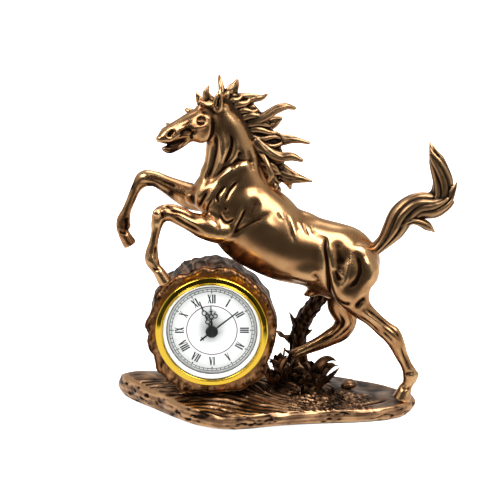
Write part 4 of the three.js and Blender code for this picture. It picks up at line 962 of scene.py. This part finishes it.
# The cut face is cleaner bronze than the bark behind it.
points = vertices_of(log_mesh)
barky = np.clip((points[:, 1] - LOG[1] - 1.2) / 3.0, 0, 1)
store(
    log_mesh, "age",
    np.clip(0.02 + 0.4 * barky + depths * 1.9 + fine * 3.5 + 0.12 * noise_of(points, 9, 3), -0.4, 1.1),
)
print("log:", len(log_mesh.vertices), "vertices")

# %% [markdown]
# ## The rock and the grass on it
# The rock is one grid too: rings from the foot up the side and in over the top. Its height is the
# ground's formula, with fine relief on top: trampled grass in long wavy ridges in front of the stump,
# coarse grains on the right, and chips and cracks along the side.


# %% The rock
outline = np.array([
    [-24, -48], [5, -42], [35, -36], [62, -32], [84, -25], [93, -12], [95, 2], [88, 14], [76, 26], [58, 36],
    [35, 42], [5, 45], [-30, 46], [-62, 46], [-88, 42], [-98, 30], [-92, 14], [-76, -6], [-60, -26], [-44, -41],
], float)  # fmt: skip


def closed_curve(corners, steps):
    """A Catmull-Rom curve through a closed list of corners, at even distances."""
    n = len(corners)
    t = np.linspace(0, n, n * 24, endpoint=False)
    i, f = t.astype(int), (t % 1)[:, None]
    a, b, c, d = (corners[(i + k) % n] for k in (-1, 0, 1, 2))
    line = 0.5 * (2 * b + (c - a) * f + (2 * a - 5 * b + 4 * c - d) * f**2 + (3 * b - a - 3 * c + d) * f**3)
    closed = np.concatenate([line, line[:1]])
    length = np.concatenate([[0], np.cumsum(np.linalg.norm(np.diff(closed, axis=0), axis=1))])
    at = np.linspace(0, length[-1], steps, endpoint=False)
    return np.stack([np.interp(at, length, closed[:, k]) for k in (0, 1)], -1)


def ground(x, y):
    """The height of the top: a flat 9 mm, with swells under the clock, under the ferns and at the left tip."""
    under_clock = 11 * np.exp(-(((x + 32) / 42) ** 2) - ((y + 4) / 26) ** 2)
    under_ferns = 7 * np.exp(-(((x - 22) / 26) ** 2) - ((y - 8) / 20) ** 2)
    back_right = 2.0 * np.clip((x - 30) / 30, 0, 1) * np.clip((y + 8) / 20, 0, 1)
    return 9 + under_clock + under_ferns + 6.5 * np.exp(-(((x + 84) / 17) ** 2) - ((y - 20) / 20) ** 2) - back_right


def grass(x, y):
    """Long wavy ridges: the sine of the distance across them, which is bent by slow noise, sharpened so
    that the crests are round and the gaps are thin. They fade out to the right and at the back."""
    flat = np.stack([x, y, 0 * x], -1)
    bend = 2.6 * noise_of(flat * [0.35, 1, 1], 34, 21, 2)
    across = y * 0.95 + x * 0.23 + bend + 3.2 * np.sin(x / 21.0)
    crest = 1 - np.abs(np.sin(across * math.pi / 4.6)) ** 0.6
    thin = 1 - np.abs(np.sin(across * math.pi / 2.1 + 1.3 * noise_of(flat, 16, 22, 2))) ** 0.7
    where = np.clip((46 - x) / 26, 0, 1) * np.clip((x + 90) / 16, 0, 1) * np.clip((24 - y) / 12, 0, 1)
    broken = 0.65 + 0.35 * np.clip(noise_of(flat * [0.5, 1, 1], 14, 23, 2), -1, 1)
    return where * broken * (-3.0 * crest - 1.3 * thin + 1.2)


around = 620
rim = closed_curve(outline, around)
rim_length = np.linalg.norm(rim, axis=1, keepdims=True)
side_rows, top_rows = 18, 84
# Up the side: 3 mm inside the outline at the foot, out to it half way up, and 2 mm inside at the edge.
up = np.linspace(0, 1, side_rows)
inward = np.interp(up, [0, 0.12, 0.45, 0.8, 1.0], [3.0, 1.2, 0.0, 0.4, 2.0])
rings = []
for inside, level in zip(inward, up):
    flat = rim * (1 - inside / rim_length)
    rings.append(np.column_stack([flat, 1.1 + (ground(flat[:, 0], flat[:, 1]) - 1.1) * level]))
for scale in np.linspace(1, 0.004, top_rows)[1:]:
    flat = rim * (1 - 2.0 / rim_length) * scale
    rings.append(np.column_stack([flat, ground(flat[:, 0], flat[:, 1])]))
rock_grid = np.array(rings)
x, y, z = rock_grid[..., 0], rock_grid[..., 1], rock_grid[..., 2]
level = np.clip(np.arange(len(rings)) / side_rows, 0, 1)[:, None]
onto_top = np.clip((np.arange(len(rings)) - side_rows + 2) / 4, 0, 1)[:, None]
flat = np.stack([x, y, z], -1)
tops = grass(x, y) * onto_top
grains = np.clip((x - 8) / 18, 0, 1) * np.clip((72 - x) / 12, 0, 1) * np.clip((6 - y) / 10, 0, 1)
tops += onto_top * grains * (0.55 * np.abs(noise_of(flat, 4.2, 31, 2)) + 0.3 * noise_of(flat, 2.1, 32, 2) - 0.3)
smooth_part = 0.35 * noise_of(flat, 26, 33, 2) * onto_top
twig = -1.9 * np.exp(-(np.abs((y + 21) - 0.62 * (x - 62)) / 1.5) ** 2) * np.exp(-(((x - 64) / 9) ** 4)) * onto_top
rock_grid[..., 2] += tops + smooth_part + twig
# The side: slow facets, and cracks and pits that bite in.
outward = unit(np.concatenate([flat[..., :2], 0 * flat[..., :1]], -1))
facets = 0.9 * noise_of(flat * [1, 1, 1.6], 30, 41, 2)
pits = -1.6 * np.clip(noise_of(flat * [0.7, 0.7, 2.0], 7.5, 42, 3) - 1.15, 0, 1)
crack_line = np.abs(noise_of(flat * [0.45, 0.45, 1.6], 13, 43, 2))
cracks = -0.9 * np.clip(1 - crack_line / 0.1, 0, 1) * np.clip(noise_of(flat, 30, 44, 1) + 0.3, 0, 1)
belt = np.sin(np.pi * np.clip(level, 0, 1)) ** 0.6 * (1 - onto_top)
rock_grid += outward * ((facets - 0.9 + pits + cracks) * belt)[..., None]
rock_mesh = grid_mesh("rock", rock_grid)
depths, fine = hollows(rock_mesh, 5), hollows(rock_mesh, 2)
washes = np.clip(noise_of(flat * [0.4, 0.4, 1.3], 12, 46, 3) - 0.55, 0, 1) * 0.75
stains = np.clip(-pits * 0.9 - cracks * 1.2 + washes, 0, 1) * belt
points = vertices_of(rock_mesh)
on_top = (onto_top * np.ones_like(x)).ravel()
dirt = 0.16 * on_top + 0.17 * noise_of(points, 18, 45)
store(rock_mesh, "age", np.clip(0.2 + dirt + stains.ravel() + depths * 1.9 + fine * 5, -0.4, 1.1))
print("rock:", len(rock_mesh.vertices), "vertices")

# %% [markdown]
# ## Dead branch, ferns, sticks and pebble
# The branch is a ribbed tube with knots and thorns. The ferns are single leaves, each a flat tube that
# arches out of the tuft and narrows to a point, with a valley for the midrib. They are cast in bronze
# with the rock, so a leaf is nearly a millimetre thick.


# %% Branch and leaves
def leaf(foot, tip, lift, width, thick=0.7, upright=False):
    """An arching leaf: a quadratic curve from foot to tip raised by `lift` at its middle. An upright leaf
    stands on its edge, so that its broad side looks to the front."""
    t = np.linspace(0, 1, 9)[:, None]
    foot, tip = np.asarray(foot, float), np.asarray(tip, float)
    middle = (foot + tip) / 2 + np.array([0, 0, lift])
    path = (1 - t) ** 2 * foot + 2 * t * (1 - t) * middle + t**2 * tip
    shape = np.sin(np.pi * np.clip(t * 0.86 + 0.14, 0, 1)) ** 0.8
    high, wide = np.maximum(width * shape, 0.2), thick * (0.35 + 0.65 * shape)
    return tube(
        np.column_stack([path, high, wide] if upright else [path, wide, high]), steps=16, around=16, lobes=2,
        groove=0.25,
    )


def tuft_of(centre, count, spread, height, seed, width=1.7):
    """Leaves fan out of one place: their directions are even round the circle with a seeded jitter."""
    rng = np.random.default_rng(seed)
    leaves = []
    for i in range(count):
        turn = 2 * math.pi * (i + rng.uniform(-0.35, 0.35)) / count
        far, tall = spread * rng.uniform(0.45, 1.0), height * rng.uniform(0.35, 1.0)
        foot = np.array(centre) + [1.5 * math.cos(turn), 1.2 * math.sin(turn), 0]
        tip = np.array(centre) + [
            far * math.cos(turn), 0.6 * far * math.sin(turn), tall * rng.uniform(0.35, 0.95),
        ]
        leaves.append(leaf(foot, tip, tall * 0.6, width * rng.uniform(0.5, 0.85), upright=i % 3 > 0))
    return leaves


branch = [
    [24, 22, 11, 6, 6.4], [21, 22, 25.5, 5.7, 6], [20, 21.5, 38, 5.6, 5.8], [22, 20, 49.5, 5.6, 5.8],
    [27, 16, 60, 5.2, 5.6], [32, 11, 68, 5, 5], [37, 7, 75.5, 4, 4.5],
]
thorns = [
    [[21, 20, 45.5, 3, 2.6], [16.8, 19, 52.5, 1.6, 1.6], [14, 18, 58.5, 0.4, 0.4]],
    [[20, 21, 37.5, 3.2, 2.8], [11, 19, 41.8, 1.8, 1.9], [5.5, 18, 46, 0.4, 0.4]],
    [[22, 18, 30, 2.6, 2.4], [14, 16, 32, 1.4, 1.4], [10, 15, 35, 0.4, 0.4]],
    [[24, 19, 43, 2.2, 2.2], [29, 18, 46.5, 0.5, 0.5]],
]
knots = [
    blob((17.8, 18, 42), (3.2, 3, 4.4)), blob((24, 15.5, 54), (2.8, 2.8, 5), 55),
    blob((22.5, 17, 26), (3.4, 3, 5.5)), blob((18.6, 19, 20), (4.4, 4, 6.5)),
]
wood = [tube(branch, around=48, lobes=7, groove=0.14, twist=0.2)] + [tube(t) for t in thorns] + knots
branch_grid = 0.5  # mm
branch_mesh = fused("branch", wood, branch_grid, 1)
normals = vertices_of(branch_mesh, "normal")
points = vertices_of(branch_mesh)
set_vertices(branch_mesh, points + normals * (0.32 * noise_of(points * [1, 1, 0.45], 4.5, 61, 2))[:, None])
depths, fine = hollows(branch_mesh, 5), hollows(branch_mesh, 2)
store(branch_mesh, "age", np.clip(0.5 + depths * 1.6 + fine * 1.5, -0.4, 1.1))

leaves = (
    tuft_of((31, -4, 13), 20, 15, 20, 81, 2.4)
    + tuft_of((33, 3, 15), 12, 14, 25, 82, 2.6)
    + tuft_of((13, 0, 15), 18, 13, 24, 83, 2.6)
    + tuft_of((4, -3, 15), 14, 10, 27, 84, 2.6)
    + tuft_of((9, 8, 15), 14, 10, 32, 88, 2.8)
    + tuft_of((22, -3, 15), 14, 12, 19, 87, 2.6)
    + tuft_of((21, -13, 12.5), 13, 12, 9, 85, 1.5)
    + tuft_of((38, -10, 11), 9, 9, 7, 86, 1.3)
    + [
        leaf((26, -4, 18), (43.5, -6, 33), 14, 2.9, 1.3, True),
        leaf((33, -4, 16), (46, -5, 28.5), -1, 1.8, 0.8, True),
    ]
    + [
        leaf((30, -4, 18), (24, -8, 33), 5, 2.0), leaf((12, -4, 18), (2, -9, 30), 6, 2.2),
        leaf((14, -2, 20), (16, -6, 36), 4, 2.2),
    ]
)
points, faces = gathered(leaves)
fern_mesh = mesh_from("ferns", points, faces)
tips = np.clip((points[:, 2] - 13) / 22, 0, 1)
store(fern_mesh, "age", np.clip(0.5 - 0.3 * tips + 0.22 * noise_of(points, 7, 62, 2), -0.3, 1.0))

sticks = [
    tube(
        [
            [34, 1, 16.5, 1, 1], [28, -8, 15, 1.2, 1.2], [21, -17, 12.5, 1.1, 1.2], [17, -24, 11.6, 0.9, 1],
            [12.5, -30, 10.6, 0.5, 0.6],
        ],
        around=18, lobes=5, groove=0.15,
    ),
    tube([[25, -12, 14, 0.8, 0.8], [20, -14, 13.2, 0.8, 0.9], [13.5, -20, 12, 0.4, 0.5]], around=14),
    tube(
        [[-8, -23, 15.5, 0.9, 1], [2, -26, 13.2, 1.2, 1.3], [10, -27.5, 12, 0.9, 1], [16, -30, 10.6, 0.4, 0.5]],
        around=16, lobes=4, groove=0.15,
    ),
]
points, faces = gathered(sticks)
stick_mesh = mesh_from("sticks", points, faces)
store(stick_mesh, "age", 0.05 + 0.2 * noise_of(points, 5, 63, 2))

pebble_mesh = fused(
    "pebble", [blob((53.2, 12, 11.8), (5, 5.6, 3.1)), blob((50.5, 11, 11.4), (3, 4.4, 2.4))], 0.5, 3,
)
points = vertices_of(pebble_mesh)
store(
    pebble_mesh, "age",
    0.15 + 0.15 * noise_of(points, 6, 64, 2) + 0.5 * np.clip((10.5 - points[:, 2]) / 2, 0, 1),
)
print("leaves:", len(leaves), "faces:", len(fern_mesh.polygons))

# %% [markdown]
# ## The clock
# Its own axes are u to the right, v up and d back from the dial's face. The bezel, the rings and the
# cap are turned, so each is a profile spun about the axis. The print is flat shapes a fiftieth of a
# millimetre over the dial: real geometry stays sharp at any distance, where a texture would blur.

# %% Turned pieces
CLOCK = np.array([-35.0, -26.5, 59.5])


def at_clock(u, v, d):
    return np.stack(np.broadcast_arrays(CLOCK[0] + u, CLOCK[1] + d, CLOCK[2] + v), -1).astype(float)


def turned(name, profile, around=256):
    """Spins a closed profile of (radius, depth) corners about the clock's axis."""
    turn = np.linspace(0, 2 * math.pi, around, endpoint=False)[None, :]
    r, d = (np.array(profile, float)[:, k : k + 1] for k in (0, 1))
    return grid_mesh(name, at_clock(r * np.cos(turn), r * np.sin(turn), d), loop_rows=True)


bezel_mesh = turned("bezel", [
    (31.05, 0.15), (35.0, 0.15), (35.0, 0.0), (35.0, -3.4), (34.97, -4.0), (34.8, -4.5), (34.5, -4.85),
    (34.1, -5.0), (33.9, -5.02),
    (33.8, -5.04), (31.9, -5.42), (31.8, -5.46), (31.65, -5.7), (31.5, -6.15), (31.25, -6.45), (30.95, -6.58),
    (30.7, -6.5), (30.5, -6.3),
    (30.42, -6.0), (30.42, -5.84), (31.05, -5.82),
])  # fmt: skip
ring_mesh = turned(
    "dial_ring", [(30.3, -4.4), (29.6, -4.4), (29.45, -4.3), (28.15, -0.2), (28.1, -0.08), (30.3, -0.08)],
)
dial_mesh = turned("dial", [(3.2, 0.0), (27.95, 0.0), (27.95, 0.5), (3.2, 0.5)])


# %% The print on the dial
def flat_bar(a, b, width_a, width_b=None, level=True):
    """Four corners of a bar from a to b; a level bar has horizontal ends, as letters have."""
    a, b = np.asarray(a, float), np.asarray(b, float)
    side = np.array([1.0, 0.0]) if level else np.array([-(b - a)[1], (b - a)[0]]) / np.linalg.norm(b - a)
    half_a, half_b = side * width_a / 2, side * (width_b if width_b is not None else width_a) / 2
    return np.array([a - half_a, a + half_a, b + half_b, b - half_b])


def spun(points, clockwise):
    angle = -math.radians(clockwise)
    c, s = math.cos(angle), math.sin(angle)
    return points @ np.array([[c, s], [-s, c]])


THICK, THIN, TALL = 0.95, 0.45, 5.5


def letter(kind, x):
    """Bars of one numeral letter whose left edge is at x, from 0 to TALL high, and its width."""
    if kind == "I":
        bars = [flat_bar((x + 0.65, 0), (x + 0.65, TALL), THICK)]
        ends, width = [(x + 0.65, 0), (x + 0.65, TALL)], 1.3
    elif kind == "V":
        bars = [flat_bar((x + 0.5, TALL), (x + 1.3, 0), THICK), flat_bar((x + 2.1, TALL), (x + 1.3, 0), THIN)]
        ends, width = [(x + 0.5, TALL), (x + 2.05, TALL)], 2.5
    else:
        bars = [flat_bar((x + 0.5, TALL), (x + 2.1, 0), THICK), flat_bar((x + 2.1, TALL), (x + 0.5, 0), THIN)]
        ends, width = [(x + 0.5, TALL), (x + 2.1, TALL), (x + 0.5, 0), (x + 2.1, 0)], 2.6
    bars += [flat_bar((ex - 0.5, ey), (ex + 0.5, ey), 0.16, level=False) for ex, ey in ends]
    return bars, width


def numeral(hour, text):
    """Letters side by side, centred, 17.4 to 22.8 mm out. From 4 to 8 their tops face the middle."""
    bars, x = [], 0.0
    for kind in text:
        more, width = letter(kind, x)
        bars += more
        x += width
    lower = 4 <= hour <= 8
    placed = []
    for bar in bars:
        bar = bar - [x / 2, 0]
        bar = bar + [0, 17.4] if not lower else bar - [0, 22.8]
        placed.append(spun(bar, hour * 30 - (180 if lower else 0)))
    return placed


PRINT_STEPS = 240  # round a printed ring
NUMERALS_ABOVE, LINES_ABOVE = 0.02, 0.05  # mm in front of the dial


def printed(name, bars, rings, above):
    """Bars, and rings as (middle radius, width), as one flat mesh `above` mm in front of the dial."""
    points, quads, start = [], [], 0
    for bar in bars:
        points.append(at_clock(bar[:, 0], bar[:, 1], -above))
        quads.append(np.array([[0, 1, 2, 3]]) + start)
        start += 4
    turn = np.linspace(0, 2 * math.pi, PRINT_STEPS, endpoint=False)
    k = np.arange(PRINT_STEPS)
    for radius, width in rings:
        for r in (radius - width / 2, radius + width / 2):
            points.append(at_clock(r * np.cos(turn), r * np.sin(turn), -above))
        l = (k + 1) % PRINT_STEPS
        quads.append(np.stack([k, l, l + PRINT_STEPS, k + PRINT_STEPS], -1) + start)
        start += 2 * PRINT_STEPS
    return mesh_from(name, np.concatenate(points), [np.concatenate(quads)])


hours = {
    12: "XII", 1: "I", 2: "II", 3: "III", 4: "IV", 5: "V", 6: "VI", 7: "VII", 8: "VIII", 9: "IX", 10: "X",
    11: "XI",
}
letters = [bar for hour, text in hours.items() for bar in numeral(hour, text)]
diamonds = [spun(np.array([[0, 23.55], [0.5, 24.2], [0, 24.85], [-0.5, 24.2]]), 30 * h) for h in range(12)]
ticks = [spun(flat_bar((0, 25.0), (0, 26.4), 0.4), 6 * m) for m in range(60)]
numerals_mesh = printed("numerals", letters + diamonds, [], NUMERALS_ABOVE)
track_mesh = printed("minute_track", ticks, [(25.0, 0.36), (26.4, 0.36)], LINES_ABOVE)
circle_mesh = printed("inner_circle", [], [(15.7, 0.6)], LINES_ABOVE)
print("bars in the print:", len(letters) + len(diamonds) + len(ticks))


# %% The hands
def slab_bar(a, b, width_a, width_b, front, thick, clockwise):
    corners = spun(flat_bar(a, b, width_a, width_b, level=False), clockwise)
    points = np.concatenate([at_clock(corners[:, 0], corners[:, 1], d) for d in (front, front + thick)])
    sides = [[0, 1, 2, 3], [7, 6, 5, 4], [0, 4, 5, 1], [1, 5, 6, 2], [2, 6, 7, 3], [3, 7, 4, 0]]
    return points, np.array(sides)


LOOP_STEPS = 40  # round a loop of a hand


def slab_ring(centre, inner, outer, front, thick, clockwise, stretch=1.0):
    """A flat loop: four circles of corners joined round, stretched along the hand."""
    turn = np.linspace(0, 2 * math.pi, LOOP_STEPS, endpoint=False)
    k = np.arange(LOOP_STEPS)
    l = (k + 1) % LOOP_STEPS
    points, quads = [], []
    for r, d in ((inner, front), (outer, front), (outer, front + thick), (inner, front + thick)):
        flat = np.stack([centre[0] + r * np.cos(turn), centre[1] + stretch * r * np.sin(turn)], -1)
        flat = spun(flat, clockwise)
        points.append(at_clock(flat[:, 0], flat[:, 1], d))
    for i in range(4):
        j = (i + 1) % 4
        here, there = i * LOOP_STEPS, j * LOOP_STEPS
        quads.append(np.stack([here + k, here + l, there + l, there + k], -1))
    return np.concatenate(points), np.concatenate(quads)


def slabs(name, parts):
    points, quads, start = [], [], 0
    for part_points, part_quads in parts:
        points.append(part_points)
        quads.append(part_quads + start)
        start += len(part_points)
    mesh = mesh_from(name, np.concatenate(points), [np.concatenate(quads)])
    return mesh


HAND_THICKNESS = 0.4


def hand(clockwise, front, bars, loops):
    return [slab_bar(a, b, wa, wb, front, HAND_THICKNESS, clockwise) for a, b, wa, wb in bars] + [
        slab_ring(c, r0, r1, front, HAND_THICKNESS, clockwise, s) for c, r0, r1, s in loops
    ]


hour_mesh = slabs("hour_hand", hand(
    -1.8, -1.7,
    [((0, 2), (0, 7.6), 1.7, 1.0), ((0, 10.4), (0, 16.5), 1.0, 0.5), ((-1.15, 12.6), (1.15, 12.6), 0.5, 0.5),
     ((1.9, 11.2), (3.0, 12.4), 0.5, 0.3), ((-1.9, 11.2), (-3.0, 12.4), 0.5, 0.3),
     ((-1.4, 7.6), (1.4, 7.6), 0.7, 0.7)],
    [
        ((0, 9.2), 0.85, 1.4, 1.15), ((2.45, 9.5), 1.0, 1.6, 1.0), ((-2.45, 9.5), 1.0, 1.6, 1.0),
        ((0, 0), 1.25, 3.0, 1.0),
    ],
))  # fmt: skip
minute_mesh = slabs("minute_hand", hand(
    -21.5, -2.7,
    [((0, 2), (0, 5.0), 1.4, 1.0), ((0, 8.2), (0, 11.1), 1.0, 0.8), ((0, 14.2), (0, 20.7), 1.05, 0.7)],
    [
        ((0, 6.6), 1.0, 1.65, 1.0), ((0, 12.6), 1.0, 1.6, 1.1), ((1.3, 9.4), 0.5, 1.0, 1.0),
        ((0, 0), 0.8, 2.6, 1.0),
    ],
))  # fmt: skip
second_mesh = slabs("second_hand", hand(
    51.7, -3.6,
    [
        ((0, -9.2), (0, 20.9), 1.1, 0.8), ((0, 16.6), (0, 17.6), 0.4, 0.85), ((0, 17.6), (0, 18.6), 0.85, 0.4),
        ((-1.35, -7.3), (1.35, -7.3), 0.6, 0.6),
    ],
    [],
))  # fmt: skip
cap_mesh = turned(
    "cap",
    [
        (0.02, -3.15), (3.9, -3.15), (3.9, -3.4), (3.82, -3.75), (3.6, -3.98), (3.2, -4.1), (1.6, -4.18),
        (0.02, -4.2),
    ],
    around=96,
)

# %% [markdown]
# ## Bronze
# Cold-cast bronze is resin filled with bronze powder, polished until it mirrors like metal. The patina
# wash is a thin dark layer: where "age" is high it is brown and duller, where it is low the metal is
# rubbed bright. On the horse "age" also holds painted shade, on the far legs and in the mouth, which
# the same dark colour paints. Faint mottling keeps large smooth parts from looking like plastic.


# %% The bronze finishes
MOTTLE = 0.06  # how far the clouds move the age
CLOUD_SCALE = 140.0  # per metre: a cloud is about 7 mm
GRAIN_SCALE = 900.0  # per metre: a grain is about 1 mm


def bronze_finish(name, clean, rubbed, patina_and_shade, roughness, start=0.12, end=0.8, grain=0.0):
    """clean, rubbed and patina are colours. Age from start to end goes from clean metal to patina.
    On the horse age also holds painted shade, and the same dark colour paints it.
    """
    material, tree = new_material(name)
    age = add(tree, "ShaderNodeAttribute", {"attribute_name": "age"})
    place = add(tree, "ShaderNodeTexCoord")
    cloud = add(
        tree, "ShaderNodeTexNoise", Vector=(place, "Object"), Scale=CLOUD_SCALE, Detail=4.0, Roughness=0.55,
    )
    spread = add(
        tree, "ShaderNodeMapRange", Value=(cloud, "Fac"), From_Min=0.3, From_Max=0.7, To_Min=-MOTTLE,
        To_Max=MOTTLE,
    )
    # Age with mottling: it carries patina and, on the horse, painted shade.
    age_and_shade_mottled = add(tree, "ShaderNodeMath", {"operation": "ADD"}, i0=(age, "Fac"), i1=(spread, "Result"))
    film_and_shade = add(tree, "ShaderNodeMapRange", SMOOTH, Value=(age_and_shade_mottled, "Value"), From_Min=start, From_Max=end)
    shine = add(
        tree, "ShaderNodeMapRange", Value=(age_and_shade_mottled, "Value"), From_Min=-0.3, From_Max=0.02, To_Min=1.0, To_Max=0.0,
    )
    metal = add(tree, "ShaderNodeMix", {"data_type": "RGBA"}, Factor=(shine, "Result"))
    metal.inputs[6].default_value = linear(clean)
    metal.inputs[7].default_value = linear(rubbed)
    colour = add(tree, "ShaderNodeMix", {"data_type": "RGBA"}, Factor=(film_and_shade, "Result"))
    tree.links.new(metal.outputs[2], colour.inputs[6])
    colour.inputs[7].default_value = linear(patina_and_shade)
    dull = add(tree, "ShaderNodeMapRange", Value=(film_and_shade, "Result"), To_Min=roughness, To_Max=roughness + 0.16)
    shader = add(tree, "ShaderNodeBsdfPrincipled", Roughness=(dull, "Result"), Metallic=1.0)
    tree.links.new(colour.outputs[2], shader.inputs["Base Color"])
    if grain:
        speck = add(tree, "ShaderNodeTexNoise", Vector=(place, "Object"), Scale=GRAIN_SCALE, Detail=3.0)
        relief = add(tree, "ShaderNodeBump", Height=(speck, "Fac"), Strength=0.5, Distance=grain * MM)
        tree.links.new(relief.outputs["Normal"], shader.inputs["Normal"])
    add(tree, "ShaderNodeOutputMaterial", Surface=(shader, "BSDF"))
    return material


polished_bronze = bronze_finish("polished_bronze", "#BC8C60", "#E2B684", "#2A1A10", 0.24)
hair_bronze = bronze_finish("hair_bronze", "#8F7052", "#C89C6F", "#1E140E", 0.3, start=-0.05, end=0.6)

piece(
    "horse", horse_mesh, polished_bronze, "statue",
    ["horse_body", "left_foreleg", "right_foreleg", "left_hind_leg", "right_hind_leg"],
)
piece("mane_skin", mane_mesh, hair_bronze, "statue", ["mane"])
piece("tail_skin", tail_mesh, hair_bronze, "statue", ["tail"])
bark_bronze = bronze_finish(
    "bark_bronze", "#A0724C", "#BC8A5C", "#21160F", 0.34, start=0.0, end=0.75, grain=0.12,
)
rock_bronze = bronze_finish(
    "rock_bronze", "#8F6C50", "#D0A277", "#231913", 0.3, start=0.05, end=0.75, grain=0.08,
)
piece("stump_bark", log_mesh, bark_bronze, "statue", ["stump"])
piece("rock_skin", rock_mesh, rock_bronze, "statue", ["base"])
plant_bronze = bronze_finish(
    "plant_bronze", "#6A4D37", "#B98A60", "#19110C", 0.36, start=-0.05, end=0.65, grain=0.1,
)
piece("branch_skin", branch_mesh, plant_bronze, "statue", ["dead_branch"])
piece("fern_leaves", fern_mesh, plant_bronze, "statue", ["fern_clump"])
piece("sticks", stick_mesh, rock_bronze, "statue")
piece("pebble_skin", pebble_mesh, rock_bronze, "statue", ["pebble"])

# %% [markdown]
# ## Finishes of the clock
# The bezel is gold-plated brass with a mirror polish. The crystal is a mineral glass: at this thickness
# it only reflects, so it is a mix of clear and mirror by the Fresnel law, which also lets light reach
# the dial. Plastic, steel, copper and felt are plain.


# %% Plain finishes
def plain(name, colour, roughness, metallic=0.0, coat=0.0):
    material, tree = new_material(name)
    shader = add(
        tree, "ShaderNodeBsdfPrincipled", Base_Color=linear(colour), Roughness=roughness, Metallic=metallic,
    )
    shader.inputs["Coat Weight"].default_value = coat
    add(tree, "ShaderNodeOutputMaterial", Surface=(shader, "BSDF"))
    return material


gilt = plain("polished_gilt", "#FFD64C", 0.06, 1.0)
white_lacquer = plain("white_lacquer", "#C9C9C9", 0.5)
white_plastic = plain("white_plastic", "#D3D0CA", 0.75)
print_ink = plain("print_ink", "#17181B", 0.7)
track_ink = plain("track_ink", "#26282C", 0.7)
circle_ink = plain("circle_ink", "#401C16", 0.6)
black_lacquer = plain("black_lacquer", "#0B0B0D", 0.45)
black_plastic = plain("black_plastic", "#17181B", 0.42)
natural_plastic = plain("natural_plastic", "#E4E0D4", 0.45)
brass = plain("turned_brass", "#C9A24D", 0.25, 1.0)
steel = plain("bright_steel", "#BFC2C6", 0.22, 1.0)
copper = plain("copper_wire", "#C0703E", 0.35, 1.0)
board_green = plain("circuit_board", "#1D6A44", 0.45, coat=0.3)
rubber = plain("black_rubber", "#1C1C1D", 0.8)
felt = plain("green_felt", "#24452F", 0.95)
glass, tree = new_material("mineral_glass")
clear = add(tree, "ShaderNodeBsdfTransparent", Color=(0.985, 0.992, 0.99, 1))
mirror = add(tree, "ShaderNodeBsdfGlossy", Color=(1, 1, 1, 1), Roughness=0.02)
# Schlick's rule: a little at a right angle and more, by the fifth power, towards the edge. It is the
# same on both faces of the pane.
angle = add(tree, "ShaderNodeLayerWeight", Blend=0.5)
steep = add(tree, "ShaderNodeMath", {"operation": "POWER"}, i0=(angle, "Facing"), i1=5.0)
share = add(tree, "ShaderNodeMapRange", Value=(steep, "Value"), To_Min=0.03, To_Max=0.9)
both = add(tree, "ShaderNodeMixShader", i0=(share, "Result"), i1=(clear, "BSDF"), i2=(mirror, "BSDF"))
add(tree, "ShaderNodeOutputMaterial", Surface=(both, "Shader"))

piece("bezel_skin", bezel_mesh, gilt, "clock_insert", ["bezel"])
piece("dial_ring_skin", ring_mesh, white_plastic, "clock_insert", ["dial_ring"])
piece("dial_disc", dial_mesh, white_lacquer, "clock_insert", ["dial"])
piece("numerals", numerals_mesh, print_ink, "clock_insert")
piece("minute_track", track_mesh, track_ink, "clock_insert")
piece("inner_circle", circle_mesh, circle_ink, "clock_insert")
piece("hour_hand_detail", hour_mesh, black_lacquer, "hour_arbor", ["hour_hand"])
piece("minute_hand_detail", minute_mesh, black_lacquer, "minute_arbor", ["minute_hand"])
piece("second_hand_detail", second_mesh, black_lacquer, "seconds_arbor", ["second_hand"])
piece("second_hand_cap", cap_mesh, black_lacquer, "seconds_arbor")

# %% Finishes of the CAD pieces that are shown as they are
finishes = {
    "crystal": glass, "movement_case": black_plastic, "movement_plate": natural_plastic,
    "friction_ring": rubber,
    "stator": steel, "coil": copper, "circuit_board": board_green, "quartz_can": steel,
    "contact_negative": steel,
    "contact_positive": steel, "button_cell": steel, "setting_knob": black_plastic, "minute_pipe": brass,
    "felt_sheet": felt, "hind_leg_pin": steel, "hour_wheel": natural_plastic, "seconds_wheel": natural_plastic,
    "centre_wheel": natural_plastic, "third_wheel": natural_plastic, "fifth_wheel": natural_plastic,
    "motion_wheel": natural_plastic, "rotor": natural_plastic,
}  # fmt: skip
for name, finish in finishes.items():
    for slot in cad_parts[name].material_slots:
        slot.material = finish
print("finishes given to", len(finishes), "CAD pieces")
